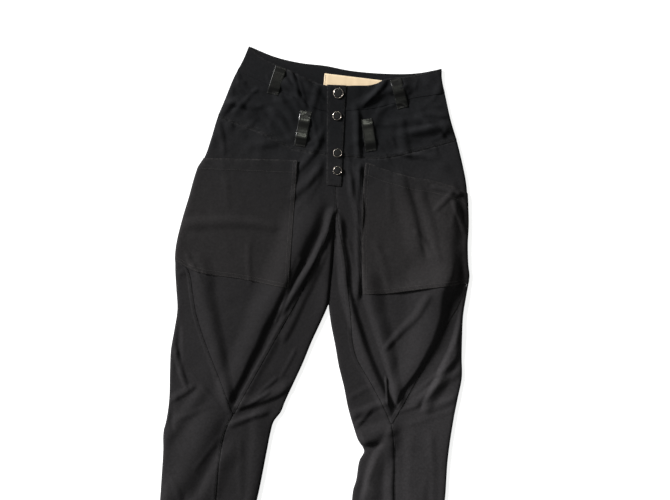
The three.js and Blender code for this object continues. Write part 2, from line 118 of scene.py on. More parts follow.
right = SimpleNamespace(
    name="right",
    sign=-1,
    knee=-413,
    outline=curve([
        (-760, -258), (-700, -265), (-640, -272), (-560, -275), (-500, -277), (-460, -280),
        (-440, -277), (-400, -275), (-340, -279), (-300, -281), (-260, -278), (-220, -276),
        (-180, -282), (-140, -288), (-100, -290), (-40, -282), (0, -274), (40, -267), (60, -262),
        (80, -252), (120, -242), (160, -234), (200, -222), (240, -210), (280, -194), (306, -186),
    ]),
    inner_outline=curve([
        (-760, -118), (-700, -107), (-640, -95), (-560, -83), (-480, -75), (-440, -71), (-420, -67),
        (-400, -55), (-380, -49), (-340, -35), (-300, -21), (-260, -9), (-220, 5), (-200, 12),
        (-188, 15.8), (-178, 17.2), (-168, 17.4), (-100, 17.2), (-60, 16.1), (8, 15.35),
    ]),
    outer_seam=curve([
        (-413, -148), (-356, -176), (-275, -217), (-225, -238), (-184, -249), (-155, -256),
        (-140, -263), (-131, -274), (-127, -285),
    ]),
    inner_seam=curve([
        (-413, -146), (-344, -116), (-262, -80), (-145, -30), (-16, 10.5), (3.4, 13.4),
    ]),
    shin_seam=curve([(-760, -172), (-584, -165), (-507, -165), (-447, -159), (-413, -147)]),
    pocket_line=curve([(-158, -63), (92, -69), (208, -71), (256, -73)]),
    waist=curve([
        (-186, 306), (-159, 287), (-130, 275), (-105, 267), (-73, 256), (-32, 244), (-6, 245),
    ]),
    band_seam=curve([
        (-205, 256), (-159, 240), (-130, 228), (-105, 219), (-73, 208), (-32, 194), (-2, 196),
    ]),
    yoke_seam=curve([(-234, 163), (-141, 137), (-85, 115), (-59, 111), (4, 109)]),
    pocket_top=curve([(-254, 79), (-69, 92), (6, 94)]),
    pocket_foot=curve([(-289, -125), (-248, -142), (-156, -149), (-63, -158), (17, -158)]),
)
print("Waist at x = -100, mm above the crotch:", round(float(right.waist(-100)), 1))

# %% Lines of the left leg
left = SimpleNamespace(
    name="left",
    sign=1,
    knee=-403,
    outline=curve([
        (-760, 262), (-700, 270), (-640, 277), (-540, 281), (-460, 279), (-380, 283), (-340, 287),
        (-300, 291), (-260, 287), (-220, 284), (-180, 282), (-140, 284), (-100, 286), (-80, 282),
        (-40, 277), (0, 275), (40, 270), (80, 263), (120, 251), (160, 237), (200, 221), (240, 208),
        (280, 196), (298, 194),
    ]),
    inner_outline=curve([
        (-760, 122), (-700, 116), (-640, 108), (-540, 100), (-520, 104), (-480, 107), (-460, 114),
        (-440, 100), (-420, 91), (-380, 75), (-340, 63), (-300, 49), (-260, 38), (-220, 26),
        (-200, 21.4), (-188, 18.9), (-178, 18), (-168, 17.9), (-100, 17.8), (-60, 16.8), (8, 15.65),
    ]),
    outer_seam=curve([(-403, 163), (-355, 185), (-221, 242), (-150, 274), (-117, 283)]),
    inner_seam=curve([
        (-403, 161), (-375, 146), (-329, 116), (-278, 81), (-189, 61), (-83, 39), (-16, 20),
        (3.4, 17.7),
    ]),
    shin_seam=curve([(-760, 192), (-551, 182), (-435, 170), (-403, 162)]),
    pocket_line=curve([(-155, 83), (-66, 72), (28, 64), (101, 63), (208, 67), (256, 69)]),
    waist=curve([(-6, 245), (23, 248), (69, 256), (84, 266), (125, 275), (153, 283), (194, 298)]),
    band_seam=curve([
        (-2, 196), (23, 199), (69, 208), (125, 228), (150, 237), (183, 245), (206, 252),
    ]),
    yoke_seam=curve([(4, 109), (72, 110), (95, 112), (160, 132), (235, 160)]),
    pocket_top=curve([(6, 94), (63, 101), (97, 92), (153, 81), (197, 78), (245, 68), (267, 60)]),
    pocket_foot=curve([(17, -152), (83, -155), (119, -152), (188, -137), (286, -115)]),
)
SIDES = (right, left)
print("Pattern lines ready for", [side.name for side in SIDES])

# %% [markdown]
# ## The folds
#
# Cloth on a table keeps a record of how it was put down: long soft ridges that fan out from
# crotch to knee, shorter ones behind the knee, and many small creases. Each row of a table is
# one ridge from (x0, y0) to (x1, y1), with a bow, a half width and a height at both ends, or
# a dent where the height is below 0. A lean above 0 makes it steeper on its left as one walks
# along it. The large ones are close to the CAD model's, the small ones are only here. A cloth
# simulation would give likely folds, but not these ones, so they are listed one by one.

# %% Large folds
FOLD_COLUMNS = ("x0", "y0", "x1", "y1", "bow", "wide0", "wide1", "high0", "high1", "lean")

right.folds = [
    # thigh, from the crotch out to the knee
    (-40, -50, -155, -362, 2, 46, 24, 9, 4.5, 0.4),
    (8, -12, -66, -196, 5, 13, 12, 5.4, 4, 0.1),
    (-26, -112, -139, -394, 3, 16, 14, 2.6, 1.2, -0.1),
    (-6, -90, -60, -250, 3, 12, 12, 1.6, 2.2, 0),
    (-232, -158, -160, -390, 0, 32, 16, 4.2, 3.6, 0.1),
    # knee and calf
    (-50, -356, -130, -392, 4, 15, 14, 3.4, 3.4, 0.4),
    (-90, -405, -142, -431, 0, 12, 10, 2.4, 2, 0.2),
    (-222, -392, -276, -474, 0, 22, 18, 2.2, 1.6, -0.1),
    (-200, -458, -256, -590, 4, 46, 40, 5.5, 4, 0.1),
    (-158, -500, -224, -640, 4, 30, 26, 3.4, 2.8, -0.25),
    (-96, -425, -98, -590, 2, 24, 20, 2, 1.2, -0.2),
    (-186, -640, -166, -748, 0, 26, 20, 3, 2.2, 0.2),
    (-214, -600, -232, -700, 0, 20, 14, 2, 1.5, 0),
    # hip and pocket
    (-16, 160, -60, 84, 2, 13, 11, 3.2, 2.2, 0.1),
    (-16, 92, -64, 28, 3, 14, 13, 3.4, 2.2, 0.2),
    (-258, -50, -112, -40, 3, 18, 14, 2.4, 2, 0),
    (-176, 176, -112, 152, 0, 16, 12, 1.6, 1.2, 0),
]

left.folds = [
    # thigh, from the crotch out to the knee
    (24, -22, 148, -362, -18, 14, 18, 4.6, 5.6, 0.2),
    (90, -138, 168, -352, 3, 26, 14, 5.5, 3, -0.25),
    (234, -138, 172, -338, 16, 56, 20, 11, 3.8, 0.5),
    (286, -140, 230, -350, 10, 21, 15, 5.5, 3.2, -0.3),
    (206, -158, 142, -250, 2, 12, 9, 2.4, 2, 0),
    # knee and calf
    (212, -352, 286, -290, 2, 15, 12, 2.4, 1.6, 0),
    (236, -366, 288, -338, 0, 14, 12, 1.6, 1.4, 0),
    (80, -392, 140, -366, 0, 15, 10, 3, 2, 0),
    (98, -438, 150, -420, -3, 28, 22, 7.5, 4, -0.2),
    (134, -532, 158, -440, 9, 28, 22, 4.6, 4, 0.3),
    (166, -460, 180, -590, 0, 14, 12, 1.6, 3, 0.3),
    (206, -452, 214, -590, 0, 24, 20, 1.2, 1, -0.2),
    (240, -450, 234, -600, 0, 26, 20, 1, 0.9, 0.25),
    (196, -620, 186, -745, 0, 26, 20, 3, 2.2, 0.2),
    (146, -610, 158, -720, 0, 16, 12, 2.2, 1.8, 0),
    # pocket
    (142, 56, 182, -50, 3, 24, 20, 2.8, 2.4, 0.4),
    (180, 44, 218, -64, 3, 16, 14, 2, 1.8, 0),
    (238, 20, 250, -116, 0, 40, 34, 6, 5.5, 0.35),
    (40, 60, 56, -10, 0, 12, 10, 2.2, 1.8, 0),
]
print("Large folds:", len(right.folds), "and", len(left.folds))

# %% Small creases on the right
right.creases = [
    # waistband, hip and beside the fly
    (-101, 263, -84, 224, 1, 8, 7, 3, 2.2, 0.2),
    (-106, 242, -68, 202, 0, 8, 7, 2.6, 2, 0.2),
    (-228, 150, -214, 100, 0, 8, 8, 2.6, 2.2, 0.3),
    (-222, 158, -180, 130, 0, 9, 8, 2.2, 1.8, 0.2),
    (-205, 104, -180, 90, 0, 7, 6, 1.4, 1, 0),
    (-88, 262, -70, 214, 0, 7, 6, 1.4, 1, 0.2),
    (-140, 170, -118, 158, 0, 9, 8, 0.9, 0.7, 0),
    (-52, 176, -34, 128, 1, 7, 6, 1.2, 0.9, 0),
    (-20, 66, -42, 18, 1, 8, 8, 1, 0.8, 0.2),
    (-34, 74, -60, -2, 2, 8, 8, 0.8, 0.6, 0),
    # pocket
    (-212, 60, -196, -4, 2, 12, 10, 0.6, 0.4, 0),
    (-146, -86, -142, -150, 0, 9, 8, 0.8, 0.8, 0),
    (-252, -76, -186, -98, 3, 12, 10, 0.7, 0.5, 0),
    (-264, -118, -240, -152, 0, 8, 7, 1.6, 1, 0),
    (-278, -152, -252, -130, 0, 7, 6, 1.2, 0.8, 0),
    # thigh and knee
    (-8, -40, -54, -206, 3, 7, 6, 0.9, 0.8, 0.1),
    (-45, -101, -80, -223, 0, 6, 5, 2.4, 1.6, 0.1),
    (-238, -374, -272, -400, 0, 10, 9, 2.4, 2.4, 0.2),
    (-41, -284, -58, -327, 0, 7, 6, 0.9, 0.7, 0),
    (-269, -308, -248, -364, 0, 9, 8, 2.6, 2.2, 0),
    (-271, -258, -262, -332, 0, 12, 10, -1.6, -1.2, 0),
    (-274, -392, -266, -446, 0, 12, 10, -1.6, -1.2, 0),
    (-230, -352, -180, -398, 0, 9, 8, 0.7, 0.6, 0),
    (-84, -366, -136, -402, 1, 6, 5, 1.8, 1.3, 0.2),
    (-104, -410, -140, -426, 0, 6, 5, 1.5, 1, 0.2),
    (-72, -340, -96, -364, 0, 7, 6, 1.2, 0.9, 0.2),
    (-250, -430, -196, -404, 0, 10, 9, 0.8, 0.6, 0),
    # calf
    (-176, -468, -208, -520, 0, 9, 8, 0.8, 0.7, 0),
    (-128, -470, -118, -560, 0, 11, 10, 0.7, 0.6, 0),
    (-250, -560, -214, -640, 0, 11, 10, 0.8, 0.7, 0),
    (-110, -620, -140, -690, 0, 12, 10, 0.9, 0.6, 0),
    (-240, -690, -196, -744, 0, 12, 10, 0.8, 0.5, 0),
]
print("Small creases on the right:", len(right.creases))

# %% Small creases on the left
left.creases = [
    # here and there from the waistband down to the knee
    (83, 258, 50, 215, 0, 9, 8, 3, 2.4, 0.2),
    (38, 190, 52, 118, 1, 10, 9, 4.2, 3.6, 0.35),
    (28, 106, 42, 40, 0, 9, 8, 3.2, 2.6, 0.3),
    (205, 66, 248, 60, 0, 7, 7, 1.8, 2, 0),
    (232, 54, 212, 28, 0, 8, 7, 2.2, 1.6, 0),
    (243, 36, 264, -8, 0, 8, 8, 2.8, 2.4, 0),
    (58, 84, 75, -152, 0, 9, 10, 3, 3.4, 0.45),
    (143, -317, 150, -362, 0, 4, 4, 2, 1.4, 0.2),
    (180, -376, 208, -364, 0, 7, 7, 1.2, 0.9, 0),
    (92, -418, 113, -386, 0, 8, 8, 2.4, 1.8, -0.2),
    (106, -447, 140, -440, 0, 12, 10, 4, 2, -0.4),
    # hip
    (36, 96, 64, 66, 0, 8, 8, 1.2, 0.9, 0),
    (104, 180, 150, 156, 2, 12, 10, 0.9, 0.7, 0),
    (160, 214, 186, 176, 0, 10, 9, 0.8, 0.6, 0),
    # pocket
    (178, -30, 208, -68, 4, 8, 8, 1.6, 1.2, 0),
    (244, 66, 268, 46, 0, 7, 6, 1.4, 0.9, 0),
    (240, 52, 262, 66, 0, 6, 6, 1, 0.8, 0),
    (246, 34, 238, 0, 0, 8, 7, 0.9, 0.6, 0),
    (112, 66, 120, 8, 1, 11, 9, 0.7, 0.5, 0),
    (104, -60, 128, -130, 2, 13, 11, 0.9, 0.7, 0),
    # thigh and knee
    (44, -60, 74, -176, 2, 7, 6, 0.9, 0.8, 0),
    (280, -250, 246, -316, 0, 10, 8, 0.9, 0.7, 0),
    (206, -338, 280, -262, 0, 8, 7, 0.9, 0.5, 0),
    (204, -398, 276, -366, 0, 10, 9, 0.7, 0.5, 0),
    (82, -356, 118, -332, 0, 9, 8, 1, 0.7, 0),
    (88, -446, 128, -462, 0, 9, 8, 1, 0.7, 0),
    # calf
    (134, -480, 120, -560, 0, 11, 9, 0.8, 0.6, 0),
    (246, -430, 258, -540, 0, 12, 10, 0.7, 0.6, 0),
    (240, -590, 206, -680, 0, 12, 10, 0.8, 0.6, 0),
    (130, -640, 172, -716, 0, 11, 9, 0.8, 0.6, 0),
]
print("Small creases on the left:", len(left.creases))

# %% [markdown]
# Over the hips the cloth is crumpled all over, with no crease that stands out. Placing dozens
# by hand would be slow, so they are drawn at random from a fixed seed: long soft ones first and
# then more short sharp ones. Each points roughly at the fly, since that is where the front is
# gathered up when the snaps are closed.

# %% Random creases over the hips
HIPS = SimpleNamespace(low=104, high=262, middle=34, outer=222, fly_y=150)
CREASE_SPREAD = SimpleNamespace(angle=0.55, bow=3, lean=0.3)
CREASE_END = SimpleNamespace(wide=0.8, high=0.6)
HIP_CREASES = (  # how many, seed, and the ranges of half length, half width and height
    SimpleNamespace(count=18, seed=5, half=(16, 36), wide=(9, 16), high=(1.2, 3.2)),
    SimpleNamespace(count=26, seed=9, half=(7, 18), wide=(4.5, 8), high=(0.6, 1.5)),
)


def hip_creases(side, kind):
    """Rows of a fold table, drawn at random within the ranges of that kind."""
    random = np.random.default_rng(kind.seed + side.sign)
    rows = []
    for _ in range(kind.count):
        x = side.sign * random.uniform(HIPS.middle, HIPS.outer)
        y = random.uniform(HIPS.low, HIPS.high)
        angle = math.atan2(HIPS.fly_y - y, -x) + random.normal(0, CREASE_SPREAD.angle)
        half = random.uniform(*kind.half)
        wide, high = random.uniform(*kind.wide), random.uniform(*kind.high)
        ahead_x, ahead_y = half * math.cos(angle), half * math.sin(angle)
        bow = random.uniform(-CREASE_SPREAD.bow, CREASE_SPREAD.bow)
        lean = random.uniform(-CREASE_SPREAD.lean, CREASE_SPREAD.lean)
        rows.append((x - ahead_x, y - ahead_y, x + ahead_x, y + ahead_y, bow,
                     wide, wide * CREASE_END.wide, high, high * CREASE_END.high, lean))
    return rows


for side in SIDES:
    for kind in HIP_CREASES:
        side.creases += hip_creases(side, kind)
print("With those over the hips:", len(right.creases), "and", len(left.creases))

# %% [markdown]
# Even calm cloth is never quite even. A value noise, random heights on a grid with smooth
# steps between them, adds up to about a millimetre of crumple on the legs and a few over the
# hips. Its generator has a fixed seed, so each run gives the same cloth.

# %% Crumple
def value_noise(x, y, size, seed):
    cells = 64
    heights = np.random.default_rng(seed).uniform(-1, 1, (cells, cells))
    u, v = x / size, y / size
    i, j = np.floor(u).astype(int), np.floor(v).astype(int)
    p, q = u - i, v - j
    p, q = p * p * (3 - 2 * p), q * q * (3 - 2 * q)
    low = lerp(heights[j % cells, i % cells], heights[j % cells, (i + 1) % cells], p)
    high = lerp(heights[(j + 1) % cells, i % cells], heights[(j + 1) % cells, (i + 1) % cells], p)
    return lerp(low, high, q)


CRUMPLES = ((64, 0.42, 11), (31, 0.24, 12), (15, 0.1, 13))  # size, height, seed
LEG_CRUMPLE = 1.5
HIP_CRUMPLE = SimpleNamespace(low=50, high=110, times=5)


def crumple(x, y):
    """Crumple of the cloth, which is stronger over the hips, where it was worn and sat on."""
    turned_x, turned_y = 0.8 * x + 0.6 * y, 0.8 * y - 0.6 * x  # so that no row or column shows
    total = sum(high * value_noise(turned_x, turned_y, size, seed) for size, high, seed in CRUMPLES)
    hips = smoothstep(y, HIP_CRUMPLE.low, HIP_CRUMPLE.high)
    return total * lerp(LEG_CRUMPLE, HIP_CRUMPLE.times, hips)


print("Crumple heights, mm:", [high for size, high, seed in CRUMPLES])

# %% [markdown]
# No fold runs quite straight either. The same noise moves each point of the tables' plane a
# few millimetres before the folds are looked up there, so their lines wander.

# %% Height of a set of folds over many points
MEANDER = SimpleNamespace(size=48, reach=3.2, seed_x=31, seed_y=32)


def fold_height(rows, x, y):
    total = np.zeros_like(x)
    x = x + MEANDER.reach * value_noise(x, y, MEANDER.size, MEANDER.seed_x)
    y = y + MEANDER.reach * value_noise(x, y, MEANDER.size, MEANDER.seed_y)
    for row in rows:
        fold = SimpleNamespace(**dict(zip(FOLD_COLUMNS, row)))
        length = math.hypot(fold.x1 - fold.x0, fold.y1 - fold.y0)
        along_x, along_y = (fold.x1 - fold.x0) / length, (fold.y1 - fold.y0) / length
        share = ((x - fold.x0) * along_x + (y - fold.y0) * along_y) / length
        along = np.clip(share, 0, 1)
        wide = lerp(fold.wide0, fold.wide1, along)
        past = np.abs(share - along) * length / (2 * wide)
        bow = 4 * fold.bow * along * (1 - along)
        across = (y - fold.y0) * along_x - (x - fold.x0) * along_y - bow
        reach = wide * np.where(across > 0, 1 - fold.lean, 1 + fold.lean)
        off = np.minimum(np.hypot(across / reach, past), 1)
        total += lerp(fold.high0, fold.high1, along) * np.cos(off * math.pi / 2) ** 2
    return total


print("Highest right fold, mm:", max(row[FOLD_COLUMNS.index("high0")] for row in right.folds))

# %% [markdown]
# ## The draped surface
#
# All front panels lie on one surface, so their seams meet by themselves. Its height has four
# parts: the air under a panel, the spring of the folded edges, the folds, and a flat strip
# under the fly, where several layers are sewn together. Along a sewn seam the cloth puckers a
# little between the stitches. Below the crotch the right thigh is pressed up over the left, and
# beside the left pocket its stiff inner edge has pressed a groove into the thigh.

# %% Sizes of the draped surface
CLOTH = 1.4
SEAM = 0.3
SLANT_GAP = 0.2
BACK_Z = CLOTH / 2
AIR = 0.8  # mm between the back and a front panel at rest
FRONT_Z = 2 * CLOTH - BACK_Z + AIR
EDGE_Z = 2.2
EDGE_SPRING = SimpleNamespace(height=1.1, reach=8)
SWELL_REACH = 45
swell = curve([(-760, 1.4), (-600, 2.2), (-400, 2.6), (-200, 2.6), (0, 2.4), (120, 1.8), (306, 1.2)])
CALM = SimpleNamespace(low=-4, high=14)  # nearer to a turned edge than this, folds die out
SETTLED = 0.5  # mm by which crumple and puckers are lowered, away from the turned edges
EDGE_CRUMPLE = 0.5  # the share of crumple and puckers that a turned edge keeps
SINK = 0.1  # mm by which the front may sink below its height at rest
FLY = SimpleNamespace(z=FRONT_Z + 1.5, half=20, fade=14, foot=44, foot_fade=40)
PUCKER = SimpleNamespace(height=0.22, reach=6, wave=13, size=37, seed=14)
PRESSED = SimpleNamespace(low=-215, high=-175, spring={"right": 2.6, "left": 0.1})
INNER_TURN = SimpleNamespace(low=-70, high=6)
GROOVE = SimpleNamespace(off=3.6, half=2.3, depth=3.6, low=-162, high=96, fade=14)

print("A front panel's middle at rest, mm:", round(FRONT_Z, 2))


# %% Turned edges, puckers and the groove
def inner_turn(y):
    """How far the inner edge of a leg turns under, from 1 down the leg to 0 at the crotch."""
    return 1 - smoothstep(y, INNER_TURN.low, INNER_TURN.high)


def leg_edges(side, x, y):
    """Distance inside both edges of the leg, how far the cloth turns there and how it springs."""
    pressed = lerp(1, PRESSED.spring[side.name], smoothstep(y, PRESSED.low, PRESSED.high))
    edges = []
    for line, out, turn, spring in (
        (side.outline, side.sign, np.ones_like(y), 1),
        (side.inner_outline, -side.sign, inner_turn(y), pressed),
    ):
        slope = (line(y + 1) - line(y - 1)) / 2
        inside = np.maximum(out * (line(y) - x) / np.hypot(1, slope), 0)
        edges.append(SimpleNamespace(inside=inside, turn=turn, spring=spring))
    return edges


def pucker(side, x, y):
    knee_up = smoothstep(y, side.knee - 4, side.knee + 4)
    lines = (
        (x - side.outer_seam(y), y, knee_up),
        (x - side.inner_seam(y), y, knee_up * (1 - smoothstep(y, -6, 8))),
        (x - side.shin_seam(y), y, 1 - knee_up),
        (y - side.band_seam(x), x, 1),
        (y - side.yoke_seam(x), x, 1),
    )
    total = np.zeros_like(x)
    for away, along, where in lines:
        uneven = 3 * value_noise(along, along * 0, PUCKER.size, PUCKER.seed)
        phase = 2 * math.pi * along / PUCKER.wave + uneven
        total += PUCKER.height * where * np.sin(phase) * np.exp(-np.abs(away) / PUCKER.reach)
    return total


def pocket_groove(x, y):
    """Depth of the groove that the left pocket's inner edge has pressed into the thigh."""
    beside = (x - left.pocket_line(y) + GROOVE.off) / GROOVE.half
    above_foot = smoothstep(y, GROOVE.low, GROOVE.low + GROOVE.fade)
    below_head = 1 - smoothstep(y, GROOVE.high - GROOVE.fade, GROOVE.high)
    return GROOVE.depth * (above_foot * below_head) * np.exp(-(beside ** 2))


print("Turn of the inner edge at the knee and at y = 0:", float(inner_turn(right.knee)),
      round(float(inner_turn(0)), 2))


# %% Height of the front
def front_height(side, x, y):
    edges = leg_edges(side, x, y)
    rise = swell(y)
    calm = np.ones_like(x)
    for edge in edges:
        rise = rise * (1 - edge.turn * np.exp(-edge.inside / SWELL_REACH))
        calm = calm * lerp(1, smoothstep(edge.inside, CALM.low, CALM.high), edge.turn)
    for edge in edges:
        far = edge.inside / EDGE_SPRING.reach
        rise = rise + edge.turn * edge.spring * EDGE_SPRING.height * far * np.exp(1 - far)
    rise = rise + calm * fold_height(side.folds + side.creases, x, y)
    fine = crumple(x, y) + pucker(side, x, y)
    rise = rise + calm * (fine - SETTLED) + EDGE_CRUMPLE * (1 - calm) * fine
    if side is left:
        rise = rise - pocket_groove(x, y)
    rise = np.maximum(rise, SINK * np.tanh(rise))
    beside = np.abs(x - centre_front(y))
    fly = 1 - smoothstep(beside, FLY.half, FLY.half + FLY.fade)
    fly = fly * smoothstep(y, FLY.foot - FLY.foot_fade, FLY.foot)
    return lerp(FRONT_Z + rise, FLY.z, fly)


middle_of_thigh = front_height(right, np.array(-120.0), np.array(-200.0))
print("Height at the middle of the right thigh, mm:", round(float(middle_of_thigh), 2))

# %% [markdown]
# ## Lattices
#
# A panel is a lattice of points where its rows cross its columns. Rows run across the leg
# between named lines, from waist to hem. Columns run down it, close together at the edges,
# where the cloth turns, and about 3 mm apart between them. Row and column depend on each
# other, so each crossing is found by trying one in the other a few times.
#
# At an outline the cloth turns under, through a quarter ellipse and on to the underside. Those
# columns are named by their angle: 90 degrees is the top, 0 the very edge, and below 0 the
# part that has turned under.

# %% Rows
ROW_NAMES = ("waist", "band", "yoke", "pocket", "crotch", "foot", "knee", "hem")
WAIST, BAND, YOKE, POCKET, CROTCH, FOOT, KNEE, HEM = range(len(ROW_NAMES))
CROTCH_TIP_Y = 8
INSEAM = 760
BACK_BAND = 46
TIP = 0.002
PITCH = 3.1
NEAR_EDGE = np.array([0, 0.8, 1.6, 2.4, 3.4, 5.0])


def front_row(side, row, x):
    flat = np.zeros_like(x)
    heights = np.stack([
        side.waist(x), side.band_seam(x), side.yoke_seam(x), side.pocket_top(x),
        flat + CROTCH_TIP_Y, side.pocket_foot(x), flat + side.knee, flat - INSEAM,
    ])
    above = np.minimum(np.floor(row).astype(int), HEM - 1)
    lines = np.arange(len(row))
    return lerp(heights[above, lines], heights[above + 1, lines], (row - above)[:, None])


def back_row(side, row, x):
    top = back_waist(x)
    heights = np.stack([top, top - BACK_BAND, top * 0 + CROTCH_TIP_Y, top * 0 - INSEAM])
    above = np.minimum(np.floor(row).astype(int), 2)
    lines = np.arange(len(row))
    return lerp(heights[above, lines], heights[above + 1, lines], (row - above)[:, None])


def rows_between(first, last, length, near_first=True, near_last=True, pitch=PITCH):
    """Row numbers from first to last over about that length in mm, closer together at the ends."""
    start = NEAR_EDGE if near_first else NEAR_EDGE[:1]
    end = NEAR_EDGE if near_last else NEAR_EDGE[:1]
    count = max(2, round((length - start[-1] - end[-1]) / pitch))
    middle = np.linspace(start[-1], length - end[-1], count + 1)
    away = np.concatenate([start[:-1], middle, (length - end[::-1])[1:]])
    return lerp(first, last, away / length)


print("Rows down 48 mm of waistband:", len(rows_between(WAIST, BAND, 48)))

# %% Columns
TURN_ANGLES = np.radians(np.array([-75, -50, -25, 0, 15, 30, 45, 60, 75, 90]))
FRONT_TURN = 4
UNDER_TURN = 3
CROWDED = 0.8  # the share of a narrow panel that both edges' columns may take
WIDTHS = SimpleNamespace(thigh=215, outer=110, inner=85, pocket=205, back=250, band=390)


def turned_offset(angle, turn):
    """Distance inside the outline of the cloth's middle at that angle of its turn."""
    run = np.where(angle < 0, UNDER_TURN * turn, FRONT_TURN)
    return lerp(SLANT_GAP, CLOTH / 2, turn) + run * (1 - np.cos(angle))


def columns_between(start, end, width, pitch=PITCH):
    """Columns over about that width, each with its panel end, offset, share between and angle."""
    half_pi = math.pi / 2

    def side_columns(kind, which):
        if kind == "turned":
            return [(which, 0.0, 0.0, angle) for angle in TURN_ANGLES]
        return [(which, offset, 0.0, half_pi) for offset in NEAR_EDGE]

    count = max(2, round(width / pitch))
    middle = [(1, 0.0, share, half_pi) for share in np.linspace(0, 1, count + 1)[1:-1]]
    first, last = side_columns(start, 0), side_columns(end, 2)
    which, offset, share, angle = np.array(first + middle + last[::-1]).T
    return SimpleNamespace(which=which.astype(int), offset=offset, share=share, angle=angle,
                           start=start, end=end)


def column_x(columns, a, b, turn):
    """x of each column where the panel runs from a to b, with that much turn at its edges."""
    inward = np.sign(b - a)
    width = np.abs(b - a)
    turned = columns.angle[None, :]
    fits, offsets = {}, {}
    for name, kind in (("start", columns.start), ("end", columns.end)):
        if kind == "turned":
            fits[name] = FRONT_TURN + CLOTH / 2
            offsets[name] = turned_offset(turned, turn)
        else:
            fits[name] = NEAR_EDGE[-1] + SLANT_GAP
            offsets[name] = SLANT_GAP + columns.offset[None, :]
    scale = np.minimum(1, CROWDED * width / (fits["start"] + fits["end"]))
    first = a + inward * fits["start"] * scale
    last = b - inward * fits["end"] * scale
    x = lerp(first, last, columns.share[None, :])
    x = np.where(columns.which == 0, a + inward * offsets["start"] * scale, x)
    return np.where(columns.which == 2, b - inward * offsets["end"] * scale, x)


print("Columns across a thigh:", len(columns_between("turned", "seam", WIDTHS.thigh).share))

# %% Where rows and columns cross
SETTLING = 12  # how often row and column are tried in each other


def crossings(rows, row_at, ends_at, columns, shift):
    """x and y where each row crosses each column. shift holds the first and last row off a seam."""
    nudge = np.zeros((len(rows), 1))
    nudge[0], nudge[-1] = -shift, shift
    y = np.repeat(row_at(rows, np.zeros((len(rows), 1))), len(columns.share), axis=1)
    x = np.zeros_like(y)
    for _ in range(SETTLING):
        a, b, turn = ends_at(rows[:, None], y)
        x = column_x(columns, a, b, turn)
        y = row_at(rows, x) + nudge
    return x, y


print("Each crossing is tried", SETTLING, "times")

# %% [markdown]
# ## From lattice to cloth
#
# The surface's height gives each crossing its third coordinate, and the turned columns are
# then bent down and under. From the lattice, a shell is made by moving every point half the
# cloth's thickness out along its normal both ways and closing the rim with one more ring, so
# that cut edges look round. Solidify could thicken the sheet, but its rim is square, and here
# the top of the shell is needed again for the stitches.

# %% Place the lattice in space
def bend_edges(x, y, z, columns, turn, low):
    """Turns the marked columns down from the top height z to the edge and then under it."""
    angle = columns.angle[None, :] + 0 * z
    sine = np.sin(angle)
    down = EDGE_Z + SEAM / 2 - (EDGE_Z - low) * np.abs(sine)
    edge = lerp(z, EDGE_Z + SEAM / 2, turn)
    upper = edge + (z - edge) * np.maximum(sine, 0)
    lower = lerp(edge, down, turn)
    return np.where(angle < 0, lower, upper)


def normals_of(points):
    across = np.gradient(points, axis=1)
    down = np.gradient(points, axis=0)
    normal = np.cross(across, down)
    normal /= np.maximum(np.linalg.norm(normal, axis=2, keepdims=True), 1e-9)
    return normal if normal[..., 2].mean() > 0 else -normal


def distances(points, axis, reverse):
    """Distance in mm from one edge of the lattice to each of its points, along the cloth."""
    step = np.linalg.norm(np.diff(points, axis=axis), axis=2)
    total = np.cumsum(np.flip(step, axis=axis) if reverse else step, axis=axis)
    zero = np.zeros((1, points.shape[1])) if axis == 0 else np.zeros((points.shape[0], 1))
    away = np.concatenate([zero, total], axis=axis)
    return np.flip(away, axis=axis) if reverse else away


def edge_distances(points):
    return SimpleNamespace(
        start=distances(points, 1, False), end=distances(points, 1, True),
        head=distances(points, 0, False), foot=distances(points, 0, True),
    )


print("A lattice's edges:", list(vars(edge_distances(np.zeros((2, 2, 3))))))

# %% [markdown]
# A sewn edge tells how it was made. Its rim is rounded, each row of stitches pulls a narrow
# dent into the cloth, and where the seam allowance is folded under one side, that side stands
# a little higher. All three are small moves along the normal, by the distance from the edge.

# %% Round a panel's seam edges and press in its stitch lines
ROUND_DROP = 0.25
ROUND_REACH = 1.5
STITCH_DENT = 0.22
DENT_REACH = 0.9
RUB_REACH = 2.0
BAND_STITCH = 3.0
YOKE_STITCHES = (2.0, 6.5)
SEAM_STITCH = 2.0
HEM_STITCH = 18.0
ALLOWANCE = SimpleNamespace(width=7.5, fade=0.8, height=0.4)


def dress_edges(points, normal, finish):
    """finish gives, for each edge, the distances of its stitch lines, or None for a bare edge."""
    away = edge_distances(points)
    move = np.zeros(points.shape[:2])
    wear = np.zeros(points.shape[:2])
    for name, stitched in finish.items():
        if stitched is None:
            continue
        far = getattr(away, name)
        move -= ROUND_DROP * np.exp(-((far / ROUND_REACH) ** 2))
        wear = np.maximum(wear, np.exp(-far / RUB_REACH))
        for inset in stitched:
            move -= STITCH_DENT * np.exp(-(((far - inset) / DENT_REACH) ** 2))
    return points + normal * move[..., None], wear


def press_allowance(points, normal, edge, where):
    """Raises the cloth over the folded seam allowance below it, up to its width from the edge."""
    far = getattr(edge_distances(points), edge)
    covered = 1 - smoothstep(far, ALLOWANCE.width - ALLOWANCE.fade, ALLOWANCE.width + ALLOWANCE.fade)
    return points + normal * (ALLOWANCE.height * covered * where)[..., None]


print("Seam allowance raised by", ALLOWANCE.height, "mm, up to", ALLOWANCE.width, "mm from the edge")
